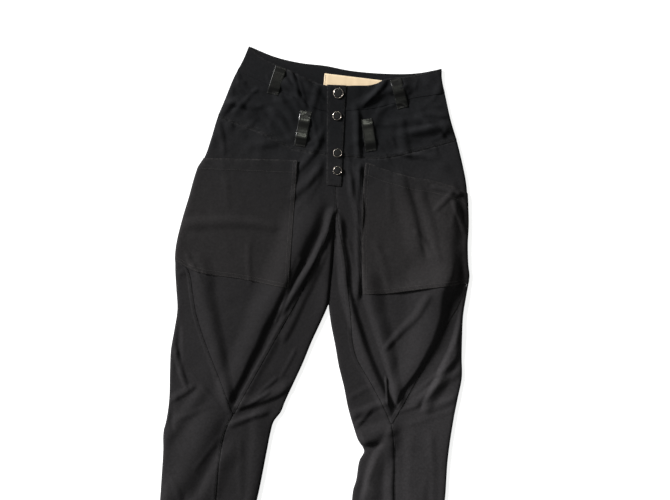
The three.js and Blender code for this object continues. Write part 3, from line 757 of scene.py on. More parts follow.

# %% [markdown]
# Black cotton fades where it is rubbed, and keeps its dye where it isn't. On these trousers the
# hips are the darkest and the left leg below the knee is the lightest. A few soft oval patches
# are added up, and each shell stores the sum at its points as an attribute, so the pattern
# stays with the cloth and the material can read it. The patches are not only fading: the dark
# patch over the hips is partly painted shade, and the light ones on the legs are partly painted
# light.

# %% Faded places, partly painted light and shade
FADE_AND_LIGHT_PATCHES = (  # x and y of the middle, half width, half height, how much lighter
    (0, 210, 300, 140, -0.56), (170, -40, 70, 80, 0.28), (130, -230, 90, 110, 0.25),
    (200, -560, 120, 200, 0.85), (250, -330, 60, 110, 0.8), (-250, -330, 60, 190, 0.22),
    (-200, -560, 100, 160, 0.1),
)


def fade_and_light_at(x, y):
    """How much lighter the cloth is at each point, from fading and from painted light and shade."""
    return sum(
        amount * np.exp(-(((x - mid_x) / wide) ** 2) - ((y - mid_y) / high) ** 2)
        for mid_x, mid_y, wide, high, amount in FADE_AND_LIGHT_PATCHES
    )


print("Faded places:", len(FADE_AND_LIGHT_PATCHES))

# %% [markdown]
# A mesh is filled from arrays in one go, which is much quicker than adding its faces one by one.
# Each shell also gets a grain map, which gives every point its place in the weave, turned as
# the panel was cut. The worn values and the faded ones, which also hold painted light and shade,
# go with it as attributes.

# %% Turn points and quads into a piece
def rim_indices(down, across):
    top = [(0, i) for i in range(across)]
    top += [(j, across - 1) for j in range(1, down)]
    top += [(down - 1, i) for i in range(across - 2, -1, -1)]
    return np.array(top + [(j, 0) for j in range(down - 2, 0, -1)])


def build_mesh(name, vertices, quads):
    """A mesh of quads from vertices in mm above the crotch line."""
    mesh = bpy.data.meshes.new(name)
    mesh.vertices.add(len(vertices))
    mesh.vertices.foreach_set("co", ((vertices + [0, CROTCH_Y, 0]) * MM).ravel())
    mesh.loops.add(quads.size)
    mesh.loops.foreach_set("vertex_index", quads.ravel().astype(np.int32))
    mesh.polygons.add(len(quads))
    mesh.polygons.foreach_set("loop_start", np.arange(0, quads.size, 4, dtype=np.int32))
    mesh.update(calc_edges=True)
    mesh.shade_smooth()
    return mesh


def add_piece(name, mesh, material):
    piece = bpy.data.objects.new(name, mesh)
    bpy.context.scene.collection.objects.link(piece)
    mesh.materials.append(material)
    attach(piece, "root")
    return piece


print("Rim of a lattice of 3 by 4 points:", len(rim_indices(3, 4)), "points")

# %% Make a closed shell
RIM_BULGE = 0.3


def shell(name, points, normal, thickness, material, wear=None, grain=0.0):
    """A closed cloth shell over a lattice. Returns the piece and its upper surface."""
    down, across = points.shape[:2]
    upper = points + normal * thickness / 2
    lower = points - normal * thickness / 2
    ring = rim_indices(down, across)
    inner = np.clip(ring, 1, [down - 2, across - 2])
    rim = points[ring[:, 0], ring[:, 1]]
    outward = rim - points[inner[:, 0], inner[:, 1]]
    outward /= np.maximum(np.linalg.norm(outward, axis=1, keepdims=True), 1e-9)
    rim = rim + outward * thickness * RIM_BULGE
    vertices = np.concatenate([upper.reshape(-1, 3), lower.reshape(-1, 3), rim])
    count = down * across
    at = np.arange(count).reshape(down, across)
    top = np.stack([at[:-1, :-1], at[1:, :-1], at[1:, 1:], at[:-1, 1:]], axis=2).reshape(-1, 4)
    bottom = top[:, ::-1] + count
    border = at[ring[:, 0], ring[:, 1]]
    middle = 2 * count + np.arange(len(ring))
    follow = np.roll(np.arange(len(ring)), -1)
    upper_rim = np.stack([border, border[follow], middle[follow], middle], axis=1)
    lower_rim = np.stack([middle, middle[follow], border[follow] + count, border + count], axis=1)
    quads = np.concatenate([top, bottom, upper_rim, lower_rim])
    sample = top[len(top) // 2]
    a, b, c = (upper.reshape(-1, 3)[sample[k]] for k in (0, 1, 2))
    if np.dot(np.cross(b - a, c - b), normal.reshape(-1, 3)[sample[0]]) < 0:
        quads = quads[:, ::-1]
    mesh = build_mesh(name, vertices, quads)
    grained = mesh.uv_layers.new(name="grain")
    turned = np.array([[math.cos(grain), math.sin(grain)], [-math.sin(grain), math.cos(grain)]])
    grained.data.foreach_set("uv", (vertices[quads.ravel(), :2] @ turned.T * MM).ravel())
    flat_wear = np.zeros(count) if wear is None else wear.ravel()
    worn = mesh.attributes.new("wear", "FLOAT", "POINT")
    worn.data.foreach_set("value", np.concatenate([flat_wear, flat_wear, flat_wear[border]]))
    # The faded attribute holds fading and painted light and shade alike.
    fade_and_light = mesh.attributes.new("fade_and_light", "FLOAT", "POINT")
    fade_and_light.data.foreach_set("value", fade_and_light_at(vertices[:, 0], vertices[:, 1]))
    piece = add_piece(name, mesh, material)
    print(f"{name}: {len(quads)} faces, {(vertices.max(0) - vertices.min(0)).round(1)} mm")
    return piece, upper


# %% [markdown]
# ## Materials
#
# Near-black cotton, which is a little lighter on the pockets, glossy and worn ribbon, cream
# tape, nickel, black enamel and three shades of thread. Effects that several of them use are
# node groups with named sockets, built once. The weave group draws warp and weft from the
# shell's own grain map. The tone group gives slow and fine changes of shade from Object
# coordinates, and mixes in the rubbed places and the faded ones, which also hold painted light
# and shade. Both only hand out values that change over the surface.

# %% Node helpers
def new_group(name, inputs, outputs):
    group = bpy.data.node_groups.new(name, "ShaderNodeTree")
    for socket, kind, value in inputs:
        made = group.interface.new_socket(name=socket, in_out="INPUT", socket_type=kind)
        if value is not None:
            made.default_value = value
    for socket, kind in outputs:
        group.interface.new_socket(name=socket, in_out="OUTPUT", socket_type=kind)
    return group, group.nodes.new("NodeGroupInput"), group.nodes.new("NodeGroupOutput")


def node(tree, kind, links=(), **settings):
    """A node with its properties set, and its inputs linked or given values by name."""
    made = tree.nodes.new(kind)
    for key, value in settings.items():
        setattr(made, key, value)
    for socket, source in dict(links).items():
        if isinstance(source, bpy.types.NodeSocket):
            tree.links.new(source, made.inputs[socket])
        else:
            made.inputs[socket].default_value = source
    return made


def math_node(tree, operation, a, b=0.0, c=0.0):
    return node(tree, "ShaderNodeMath", {0: a, 1: b, 2: c}, operation=operation).outputs[0]


def mix_colours(tree, factor, first, second):
    """A colour between two, each a socket or a plain colour. Sockets 6 and 7 are the colours."""
    mixed = node(tree, "ShaderNodeMix", {"Factor": factor, 6: first, 7: second}, data_type="RGBA")
    return mixed.outputs[2]


print("Node helpers:", [helper.__name__ for helper in (new_group, node, math_node, mix_colours)])


# %% Weave group
def build_weave():
    group, given, result = new_group(
        "cloth weave",
        [("Grain", "NodeSocketVector", None), ("Pitch", "NodeSocketFloat", 0.0006),
         ("Slubs", "NodeSocketFloat", 0.3)],
        [("Height", "NodeSocketFloat"), ("Shade", "NodeSocketFloat")],
    )
    apart = node(group, "ShaderNodeSeparateXYZ", {0: given.outputs["Grain"]})
    turns = math_node(group, "DIVIDE", 2 * math.pi, given.outputs["Pitch"])
    warp_at = math_node(group, "MULTIPLY", apart.outputs["X"], turns)
    weft_at = math_node(group, "MULTIPLY", apart.outputs["Y"], turns)
    warp = math_node(group, "SINE", warp_at)
    rib = math_node(group, "SINE", math_node(group, "ADD", warp_at, weft_at))
    height = math_node(group, "MULTIPLY_ADD", rib, 0.6, math_node(group, "MULTIPLY", warp, 0.25))
    slub = node(
        group, "ShaderNodeTexNoise",
        {"Vector": given.outputs["Grain"], "Scale": 900.0, "Detail": 2.0, "Roughness": 0.6},
    )
    uneven = math_node(group, "MULTIPLY", slub.outputs[0], given.outputs["Slubs"])
    group.links.new(math_node(group, "ADD", height, uneven), result.inputs["Height"])
    shade = math_node(group, "MULTIPLY_ADD", height, 0.06, 1.0)
    darker = math_node(group, "SUBTRACT", shade, 0.06)
    shaded = math_node(group, "MULTIPLY_ADD", slub.outputs[0], 0.12, darker)
    group.links.new(shaded, result.inputs["Shade"])
    return group


weave_group = build_weave()
print("Built", weave_group.name, "with", len(weave_group.nodes), "nodes")


# %% Tone group: slow changes of shade, and the lighter rub along edges
def build_tone():
    group, given, result = new_group(
        "tone and wear",
        [("Position", "NodeSocketVector", None), ("Colour", "NodeSocketColor", (0.5, 0.5, 0.5, 1)),
         ("Rubbed", "NodeSocketColor", (0.6, 0.6, 0.6, 1)), ("Wear", "NodeSocketFloat", 0.0),
         ("Shade", "NodeSocketFloat", 1.0), ("Change", "NodeSocketFloat", 0.15),
         ("Fade and light", "NodeSocketFloat", 0.0), ("Mottle", "NodeSocketFloat", 0.0),
         ("Fresh", "NodeSocketColor", (0.5, 0.5, 0.5, 1))],
        [("Colour", "NodeSocketColor"), ("Rub", "NodeSocketFloat")],
    )
    broad = node(
        group, "ShaderNodeTexNoise",
        {"Vector": given.outputs["Position"], "Scale": 9.0, "Detail": 3.0, "Roughness": 0.55},
    )
    change = math_node(group, "MULTIPLY", math_node(group, "SUBTRACT", broad.outputs[0], 0.5),
                       given.outputs["Change"])
    fine = node(
        group, "ShaderNodeTexNoise",
        {"Vector": given.outputs["Position"], "Scale": 220.0, "Detail": 3.0, "Roughness": 0.7},
    )
    mottled = math_node(group, "MULTIPLY", math_node(group, "SUBTRACT", fine.outputs[0], 0.5),
                        given.outputs["Mottle"])
    level = math_node(group, "ADD", math_node(group, "ADD", change, mottled), 1.0)
    level = math_node(group, "MULTIPLY", level, math_node(group, "ADD", given.outputs["Fade and light"], 1.0))
    level = math_node(group, "MULTIPLY", level, given.outputs["Shade"])
    patchy = node(group, "ShaderNodeMapRange",
                  {"Value": fine.outputs[0], "From Min": 0.42, "From Max": 0.66})
    rub = math_node(group, "MULTIPLY", given.outputs["Wear"], patchy.outputs[0])
    # Below 0 the faded value, which is partly painted shade, turns the colour towards the bluer fresh dye.
    fresh = node(group, "ShaderNodeMapRange",
                 {"Value": given.outputs["Fade and light"], "From Min": 0.0, "From Max": -0.5})
    dyed = mix_colours(group, fresh.outputs[0], given.outputs["Colour"], given.outputs["Fresh"])
    toned = node(group, "ShaderNodeVectorMath", {0: dyed, "Scale": level}, operation="SCALE")
    mixed = mix_colours(group, rub, toned.outputs[0], given.outputs["Rubbed"])
    group.links.new(mixed, result.inputs["Colour"])
    group.links.new(rub, result.inputs["Rub"])
    return group


tone_group = build_tone()
print("Built", tone_group.name, "with", len(tone_group.nodes), "nodes")


# %% [markdown]
# Sheen, for the fibre ends that stand out of a soft cloth, is only used on the tape. Its weight
# is the same all over, so it is set on the shader itself. The weave goes to the Bump node: at
# real size its threads are far finer than any mesh could hold. Only the cotton is mottled and
# faded, and only it carries the painted light and shade of the faded places. The two upper belt
# loops are a more worn ribbon, which has lost some of its gloss.

# %% A woven material
def new_material(name, roughness, metallic=0.0):
    material = bpy.data.materials.new(name)
    material.use_nodes = True
    tree = material.node_tree
    shader = tree.nodes["Principled BSDF"]
    shader.inputs["Roughness"].default_value = roughness
    shader.inputs["Metallic"].default_value = metallic
    shader.inputs["Specular IOR Level"].default_value = 0.2
    return material, tree, shader


FRESH_DYE = (0.0113, 0.0118, 0.0134)  # cloth that has not faded is a little bluer


def woven_material(name, colour, rubbed, roughness, pitch, depth, sheen=0.0, change=0.25, slubs=0.3,
                   specular=0.08, mottle=0.0):
    """A woven finish. pitch is the thread's spacing and depth the weave's relief, in metres."""
    material, tree, shader = new_material(name, roughness)
    shader.inputs["Sheen Weight"].default_value = sheen
    shader.inputs["Sheen Roughness"].default_value = 0.45
    shader.inputs["Specular IOR Level"].default_value = specular
    grain = node(tree, "ShaderNodeUVMap", uv_map="grain")
    place = node(tree, "ShaderNodeTexCoord")
    worn = node(tree, "ShaderNodeAttribute", attribute_name="wear")
    weave = node(tree, "ShaderNodeGroup", node_tree=weave_group)
    tree.links.new(grain.outputs["UV"], weave.inputs["Grain"])
    weave.inputs["Pitch"].default_value = pitch
    weave.inputs["Slubs"].default_value = slubs
    tone = node(tree, "ShaderNodeGroup", node_tree=tone_group)
    tree.links.new(place.outputs["Object"], tone.inputs["Position"])
    tree.links.new(worn.outputs["Fac"], tone.inputs["Wear"])
    tree.links.new(weave.outputs["Shade"], tone.inputs["Shade"])
    tone.inputs["Colour"].default_value = (*colour, 1)
    tone.inputs["Rubbed"].default_value = (*rubbed, 1)
    tone.inputs["Change"].default_value = change
    tone.inputs["Fresh"].default_value = (*FRESH_DYE, 1)
    tone.inputs["Mottle"].default_value = mottle
    # Mottled cloth also reads the faded places, which are partly painted light and shade.
    if mottle:
        fade_and_light = node(tree, "ShaderNodeAttribute", attribute_name="fade_and_light")
        tree.links.new(fade_and_light.outputs["Fac"], tone.inputs["Fade and light"])
    tree.links.new(tone.outputs["Colour"], shader.inputs["Base Color"])
    rough = math_node(tree, "MULTIPLY_ADD", tone.outputs["Rub"], -0.08, roughness)
    tree.links.new(rough, shader.inputs["Roughness"])
    bump = node(tree, "ShaderNodeBump", {"Strength": 0.6, "Distance": depth})
    tree.links.new(weave.outputs["Height"], bump.inputs["Height"])
    tree.links.new(bump.outputs["Normal"], shader.inputs["Normal"])
    return material


print("Colour of cloth that has not faded:", FRESH_DYE)

# %% Cloth, ribbon and label materials
cloth = woven_material("near-black cotton", (0.0127, 0.0119, 0.0125), (0.022, 0.021, 0.021), 0.85,
                       0.0006, 0.00003, mottle=1.1)
pocket_cloth = woven_material("pocket cotton", (0.0142, 0.0131, 0.0134), (0.026, 0.024, 0.023), 0.85,
                              0.0006, 0.00003, mottle=1.1)
ribbon = woven_material("glossy ribbon", (0.0028, 0.0028, 0.0024), (0.01, 0.01, 0.009), 0.3, 0.0013,
                        0.000006, slubs=0.0, specular=0.42)
worn_ribbon = woven_material("worn ribbon", (0.0026, 0.0026, 0.0024), (0.007, 0.007, 0.006), 0.4,
                             0.0013, 0.000006, slubs=0.0, specular=0.2)
label_tape = woven_material("cream tape", (0.68, 0.53, 0.35), (0.76, 0.64, 0.47), 0.72, 0.0007, 0.00005,
                            sheen=0.05, change=0.14)
print("Woven materials:", [m.name for m in (cloth, pocket_cloth, ribbon, worn_ribbon, label_tape)])


# %% Metal, enamel and thread materials
def mottled_material(name, colour, dulled, roughness, metallic, scale):
    """A hard or twisted finish whose colour and roughness change in small patches."""
    material, tree, shader = new_material(name, roughness, metallic)
    place = node(tree, "ShaderNodeTexCoord")
    patches = node(
        tree, "ShaderNodeTexNoise",
        {"Vector": place.outputs["Object"], "Scale": scale, "Detail": 4.0, "Roughness": 0.65},
    )
    ramp = node(tree, "ShaderNodeMapRange",
                {"Value": patches.outputs[0], "From Min": 0.4, "From Max": 0.68})
    mixed = mix_colours(tree, ramp.outputs[0], (*colour, 1), (*dulled, 1))
    tree.links.new(mixed, shader.inputs["Base Color"])
    rough = math_node(tree, "MULTIPLY_ADD", ramp.outputs[0], 0.25, roughness)
    tree.links.new(rough, shader.inputs["Roughness"])
    bump = node(tree, "ShaderNodeBump", {"Strength": 0.3, "Distance": 0.00005})
    tree.links.new(patches.outputs[0], bump.inputs["Height"])
    tree.links.new(bump.outputs["Normal"], shader.inputs["Normal"])
    return material


nickel = mottled_material("worn nickel", (0.55, 0.5, 0.45), (0.2, 0.15, 0.12), 0.2, 1.0, 500.0)
enamel = mottled_material("black enamel", (0.003, 0.003, 0.003), (0.008, 0.0075, 0.0075), 0.5, 0.0,
                          1200.0)
thread = mottled_material("black thread", (0.009, 0.0088, 0.009), (0.016, 0.0155, 0.015), 0.6, 0.0,
                          2500.0)
pocket_thread = mottled_material("pocket thread", (0.034, 0.031, 0.03), (0.06, 0.055, 0.053), 0.5,
                                 0.0, 2500.0)
tack_thread = mottled_material("tack thread", (0.02, 0.0195, 0.018), (0.04, 0.038, 0.036), 0.6, 0.0,
                               2500.0)
print("Plain materials:", [m.name for m in (nickel, enamel, thread, pocket_thread, tack_thread)])

# %% [markdown]
# ## The front panels
#
# Each side has a waistband, a yoke, a thigh panel that tapers to a point at the knee, and an
# outer and an inner leg panel that meet below it. They share rows, so their seams match. The
# yoke and thigh are cut straight down the grain and the leg panels are turned a little, as
# the maker laid them on the cloth. At each seam the allowances are pressed under one of the
# two panels, the one that shows a raised edge in the photograph.

# %% Ends of the front panels at each row
FRONT_THICKNESS = 1.2
LEAST_TURN = 0.15
GRAIN = SimpleNamespace(outer=0.16, inner=-0.2)  # how far the leg panels are turned, in radians


def upper_ends(side):
    def ends(row, y):
        outer = np.where(row > FOOT, side.outer_seam(y) - side.sign * SLANT_GAP, side.outline(y))
        centre = np.where(row > CROTCH, side.inner_seam(y), centre_front(y))
        return outer, centre + side.sign * SLANT_GAP, np.where(row > FOOT, 0.0, 1.0)
    return ends


def outer_ends(side):
    def ends(row, y):
        seam = np.where(row > KNEE, side.shin_seam(y), side.outer_seam(y))
        return side.outline(y), seam + side.sign * SLANT_GAP, np.ones_like(y)
    return ends


def inner_ends(side):
    def ends(row, y):
        seam = np.where(row > KNEE, side.shin_seam(y), side.inner_seam(y))
        return side.inner_outline(y), seam - side.sign * SLANT_GAP, np.maximum(inner_turn(y), LEAST_TURN)
    return ends


def front_lattice(side, rows, columns, ends, shift=SEAM / 2):
    row_at = lambda row, x: front_row(side, row, x)
    x, y = crossings(rows, row_at, ends, columns, shift)
    turn = ends(rows[:, None], y)[2] + 0 * y
    z = front_height(side, x, y)
    z = bend_edges(x, y, z, columns, turn, BACK_Z)
    points = np.stack([x, y, z], axis=2)
    return points, normals_of(points)


thigh_ends = upper_ends(right)(np.array(4.5), np.array(-100.0))[:2]
print("Ends of the right thigh at y = -100, mm:", [round(float(end), 1) for end in thigh_ends])

# %% Rows of each stretch
SEAM_ROWS = SimpleNamespace(
    band=rows_between(WAIST, BAND, 48),
    yoke=rows_between(BAND, YOKE, 92),
    hip=rows_between(YOKE, POCKET, 30, near_last=False),
    thigh=rows_between(POCKET, CROTCH, 80, near_first=False, near_last=False),
    fork=rows_between(CROTCH + TIP, FOOT, 155, near_first=False, near_last=False),
    leg=rows_between(FOOT + TIP, KNEE, 262, near_first=False, near_last=False),
    shin=rows_between(KNEE + TIP, HEM, 350, near_first=False),
)
print("Rows from waist to hem:", sum(len(rows) for rows in vars(SEAM_ROWS).values()))

# %% Build the front panels
tops = {}


def front_panel(side, part, rows, columns, ends, finish, grain=0.0, shift=SEAM / 2, pressed=None):
    points, normal = front_lattice(side, rows, columns, ends, shift)
    for edge, where in (pressed or {}).items():
        points = press_allowance(points, normal, edge, where)
    points, wear = dress_edges(points, normal, finish)
    name = f"cloth_{part}_{side.name}"
    piece, upper = shell(name, points, normal, FRONT_THICKNESS, cloth, wear=wear, grain=grain)
    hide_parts(f"{part}_{side.name}")
    tops[part, side.name] = SimpleNamespace(piece=piece, top=upper, normal=normal)


for side in SIDES:
    wide = columns_between("turned", "seam", WIDTHS.thigh)
    upper = upper_ends(side)
    front_panel(side, "waistband_front", SEAM_ROWS.band, wide, upper,
                {"head": (BAND_STITCH,), "foot": None, "end": ()}, pressed={"foot": 1})
    front_panel(side, "yoke", SEAM_ROWS.yoke, wide, upper,
                {"head": None, "foot": YOKE_STITCHES, "end": ()}, pressed={"foot": 1})
    thigh_rows = np.concatenate([
        SEAM_ROWS.hip, SEAM_ROWS.thigh[1:], SEAM_ROWS.fork, SEAM_ROWS.leg,
    ])
    below_pocket = smoothstep(thigh_rows, FOOT, FOOT + 0.1)[:, None]
    below_fork = smoothstep(thigh_rows, CROTCH, CROTCH + 0.1)[:, None]
    front_panel(side, "front_thigh", thigh_rows, wide, upper, {"head": (), "end": (SEAM_STITCH,)},
                pressed={"start": below_pocket} if side is left else {"end": below_fork})
    turned = columns_between("turned", "seam", WIDTHS.outer)
    leg_rows = np.concatenate([SEAM_ROWS.leg, SEAM_ROWS.shin])
    front_panel(side, "outer_leg", leg_rows, turned, outer_ends(side),
                {"end": (SEAM_STITCH,), "foot": (HEM_STITCH,)}, grain=GRAIN.outer * side.sign, shift=0,
                pressed={"end": 1} if side is right else None)
    narrow = columns_between("turned", "seam", WIDTHS.inner)
    inner_rows = np.concatenate([SEAM_ROWS.fork, SEAM_ROWS.leg, SEAM_ROWS.shin])
    above_knee = 1 - smoothstep(inner_rows, KNEE, KNEE + 0.1)[:, None]
    front_panel(side, "inner_leg", inner_rows, narrow, inner_ends(side),
                {"end": (), "foot": (HEM_STITCH,)}, grain=GRAIN.inner * side.sign, shift=0,
                pressed={"end": 0.7 * above_knee} if side is left else None)

# %% [markdown]
# ## The pockets
#
# A patch pocket is a separate piece laid on the thigh and sewn down along its inner edge and
# foot. Its lattice is the thigh's own surface moved out by one thickness of cloth, so it
# follows every fold below it. Its outer edge ends in the side seam. Its mouth is a folded hem
# that stands a little open, and so do the upper inner corners. Between its stitches the foot
# of the left pocket has pulled away from the thigh.

# %% Build the pockets
POCKET_GAPE = 1.6
POCKET_SLACK = 0.8
POCKET_HEM = 26
HEM_STEP = 0.35
POCKET_LINES = (1.8, 8.0)
POCKET_MOUTH_STITCH = POCKET_HEM - 2.5
POCKET_THICKNESS = 0.8
POCKET_RISE = 1.1
POCKET_UNDER = 2  # columns of the turned edge that a pocket does without: it ends in the side seam
FOOT_GAPE = SimpleNamespace(x=176, half=40, reach=15, height=3.2)
CORNER_GAPE = SimpleNamespace(reach=9, height={"right": 2.2, "left": 0.6}, down=0.22)


def pocket_ends(side):
    def ends(row, y):
        return side.outline(y), side.pocket_line(y), np.ones_like(y)
    return ends


for side in SIDES:
    rows = rows_between(POCKET, FOOT, 240)
    columns = columns_between("turned", "seam", WIDTHS.pocket)
    points, normal = front_lattice(side, rows, columns, pocket_ends(side), 0)
    points, normal = points[:, POCKET_UNDER:], normal[:, POCKET_UNDER:]
    away = edge_distances(points)
    down = ((rows - POCKET) / (FOOT - POCKET))[:, None]
    across = np.clip(away.end / (away.end + away.start), 0, 1)
    lift = np.sin(math.pi * across) * (POCKET_GAPE * (1 - down) ** 2 + POCKET_SLACK * np.sin(math.pi * down))
    lift = lift + HEM_STEP * (1 - smoothstep(away.head, POCKET_HEM - 1.2, POCKET_HEM + 0.6))
    beside = (points[..., 0] - FOOT_GAPE.x) / FOOT_GAPE.half
    lift = lift + FOOT_GAPE.height * np.exp(-(beside ** 2 + (away.foot / FOOT_GAPE.reach) ** 2))
    corner = np.exp(-((away.end / CORNER_GAPE.reach) ** 2) - (down / CORNER_GAPE.down) ** 2)
    lift = lift + CORNER_GAPE.height[side.name] * corner
    points = points + normal * (POCKET_RISE + lift)[..., None]
    normal = normals_of(points)
    points, wear = dress_edges(
        points, normal, {"head": (POCKET_MOUTH_STITCH,), "end": POCKET_LINES, "foot": POCKET_LINES}
    )
    piece, upper = shell(f"cloth_pocket_{side.name}", points, normal, POCKET_THICKNESS, pocket_cloth,
                         wear=wear)
    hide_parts(f"pocket_{side.name}")
    tops["pocket", side.name] = SimpleNamespace(piece=piece, top=upper, normal=normal)

# %% [markdown]
# ## The backs
#
# The backs lie flat on the surface and carry the weight, so they stay level. They are cut as
# two legs that meet in a centre seam, with a waistband whose inside shows above the front.
# They start where the turned edge of the front ends. Below the crotch the thighs press
# together, so there the two backs touch.

# %% Build the backs and the back waistband
BACK_THICKNESS = 1.3
BACK_PITCH = 7
BAND_PITCH = 4
BACK_START = 3.6
THIGHS_PART_Y = -182
THIGHS_TOUCH_X = 17.8


def back_ends(side):
    def ends(row, y):
        apart = 1 - smoothstep(y, THIGHS_PART_Y - 14, THIGHS_PART_Y)
        middle = lerp(THIGHS_TOUCH_X, centre_front(y), smoothstep(y, -60, CROTCH_TIP_Y))
        inner = lerp(middle, side.inner_outline(y), apart)
        inner = inner + side.sign * lerp(SLANT_GAP / 4, BACK_START, apart)
        return side.outline(y) - side.sign * BACK_START, inner, 0 * y
    return ends


def flat_lattice(side, rows, columns, ends, z=BACK_Z):
    x, y = crossings(rows, lambda row, at: back_row(side, row, at), ends, columns, SEAM / 2)
    points = np.stack([x, y, 0 * x + z], axis=2)
    return points, normals_of(points)


for side in SIDES:
    back_rows = np.concatenate([
        rows_between(1, 2, 225, near_last=False, pitch=BACK_PITCH),
        rows_between(2 + TIP, 3, 768, near_first=False, pitch=BACK_PITCH),
    ])
    columns = columns_between("seam", "seam", WIDTHS.back, BACK_PITCH)
    points, normal = flat_lattice(side, back_rows, columns, back_ends(side))
    piece, upper = shell(f"cloth_back_{side.name}", points, normal, BACK_THICKNESS, cloth)
    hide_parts(f"back_{side.name}")
    tops["back", side.name] = SimpleNamespace(piece=piece, top=upper, normal=normal)


def band_ends(row, y):
    return right.outline(y) + BACK_START, left.outline(y) - BACK_START, 0 * y


columns = columns_between("seam", "seam", WIDTHS.band, BAND_PITCH)
points, normal = flat_lattice(right, rows_between(0, 1, BACK_BAND), columns, band_ends)
points, wear = dress_edges(points, normal, {"head": (BAND_STITCH,)})
piece, upper = shell("cloth_waistband_back", points, normal, BACK_THICKNESS, cloth, wear=wear)
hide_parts("waistband_back")
tops["waistband_back", ""] = SimpleNamespace(piece=piece, top=upper, normal=normal)

# %% [markdown]
# ## Placket, loops and label
#
# The placket is a doubled strip over the fly. The belt loops are lengths of ribbon, sewn down
# at both ends and arched between them. The label is a bare piece of tape on the inside of the
# back waistband. All are strips that follow a straight centre line, so one function makes
# them: it lays a lattice over the line and asks for the height of the cloth below. Ribbon is
# stiffer than cotton, so a loop bridges the small creases below it and has slow waves of its
# own. These catch the light.

# %% A strip over the cloth
def strip_lattice(corners, heights, pitch=1.6):
    """A lattice over four corners: head start, head end, foot end, foot start. heights gives z."""
    corners = np.array(corners, float)
    head_start, head_end, foot_end, foot_start = corners
    width = np.linalg.norm(head_end - head_start)
    length = np.linalg.norm(foot_start - head_start)

    def even(size):
        near = NEAR_EDGE[:4] / size
        middle = np.linspace(near[-1], 1 - near[-1], max(3, round(size / pitch)))
        return np.concatenate([near[:-1], middle, 1 - near[:-1][::-1]])

    u, v = np.meshgrid(even(width), even(length))
    start = lerp(head_start, foot_start, v[..., None])
    end = lerp(head_end, foot_end, v[..., None])
    flat = lerp(start, end, u[..., None])
    points = np.concatenate([flat, heights(flat[..., 0], flat[..., 1], u, v)[..., None]], axis=2)
    return points, normals_of(points)


sample = strip_lattice([(0, 10), (5, 10), (5, 0), (0, 0)], lambda x, y, u, v: 0 * x)[0]
print("Rows and columns of a strip of 5 by 10 mm:", sample.shape[:2])

# %% Placket
PLACKET = SimpleNamespace(top=246, foot=50, top_x=(-26, 11), foot_x=(-8, 20), thickness=0.9)
PLACKET_Z = FLY.z + CLOTH / 2 + SEAM + 0.6
PLACKET_STITCHES = {"head": 2.5, "foot": 2.0, "start": 2.0, "end": 2.0}
SNAPS = ((-3, 230, 10), (-1, 186, 8.5), (7, 114, 8.5), (10, 80, 8.5))  # x, y, radius


def placket_height(x, y, u, v):
    z = PLACKET_Z + 0.28 * value_noise(x, y, 23, 21) + 0.12 * value_noise(x, y, 9, 22)
    for snap_x, snap_y, radius in SNAPS:
        near = np.hypot(x - snap_x, y - snap_y)
        z = z - 0.25 * np.exp(-((near / (1.5 * radius)) ** 4))
    return z


points, normal = strip_lattice(
    [(PLACKET.top_x[0], PLACKET.top - 1), (PLACKET.top_x[1], PLACKET.top + 1),
     (PLACKET.foot_x[1], PLACKET.foot), (PLACKET.foot_x[0], PLACKET.foot)],
    placket_height,
)
points, wear = dress_edges(points, normal, {edge: (inset,) for edge, inset in PLACKET_STITCHES.items()})
piece, upper = shell("cloth_placket", points, normal, PLACKET.thickness, cloth, wear=wear)
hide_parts("fly_placket")
tops["placket", ""] = SimpleNamespace(piece=piece, top=upper, normal=normal)

# %% Belt loops
LOOPS = (  # side, x and y at the top, x and y at the foot, waves, where one rises, height
    (right, -119, 271, -131, 216, 1, 0.84, 0.6), (left, 106, 269, 126, 214, 1, 0.78, 0.5),
    (right, -62, 190, -68, 120, 2, 0.17, 0.7), (left, 57, 186, 72, 124, 1, 0.62, 1.1),
)
LOOP = SimpleNamespace(half=11, thickness=0.6, arch=1.4, lift=0.3, sewn=(0.03, 0.25), camber=0.2,
                       turned_in=4)
SMOOTHED = (-0.16, -0.08, 0, 0.08, 0.16)  # shares of the length over which the height is averaged
WORN_LOOPS = (1, 2)
TACK = SimpleNamespace(width=17, stitches=14, inset=2.0)  # a bar tack at each end of a loop

for number, (side, top_x, top_y, foot_x, foot_y, waves, rising, high) in enumerate(LOOPS, start=1):
    length = math.hypot(foot_x - top_x, foot_y - top_y)
    across = np.array([-(foot_y - top_y), foot_x - top_x]) / length * LOOP.half
    head, foot = np.array([top_x, top_y]), np.array([foot_x, foot_y])

    def loop_height(x, y, u, v, side=side, foot=foot, head=head, waves=waves, rising=rising, high=high):
        free = smoothstep(np.minimum(v, 1 - v), *LOOP.sewn)
        wave = high * np.sin(2 * math.pi * waves * (v - rising)) - LOOP.camber * (2 * u - 1) ** 2
        middle = sum(
            front_height(side, lerp(head[0], foot[0], v + off), lerp(head[1], foot[1], v + off))
            for off in SMOOTHED
        ) / len(SMOOTHED)
        below = lerp(front_height(side, x, y), middle, free) + CLOTH / 2
        return below + LOOP.thickness / 2 + LOOP.lift + free * (LOOP.arch + wave)

    corners = [head - across, head + across, foot + across, foot - across]
    points, normal = strip_lattice(corners, loop_height)
    points, wear = dress_edges(
        points, normal, {"start": (), "end": (), "head": (TACK.inset,), "foot": (TACK.inset,)}
    )
    piece, upper = shell(f"ribbon_loop_{number}", points, normal, LOOP.thickness,
                         worn_ribbon if number in WORN_LOOPS else ribbon, wear=wear,
                         grain=math.atan2(across[1], across[0]))
    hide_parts(f"belt_loop_{number}")
    tops["loop", number] = SimpleNamespace(piece=piece, top=upper, normal=normal)

# %% Label
LABEL = SimpleNamespace(start=-33, end=80, head=(267, 264), foot=(238, 254), thickness=0.5,
                        stitch=2.0)


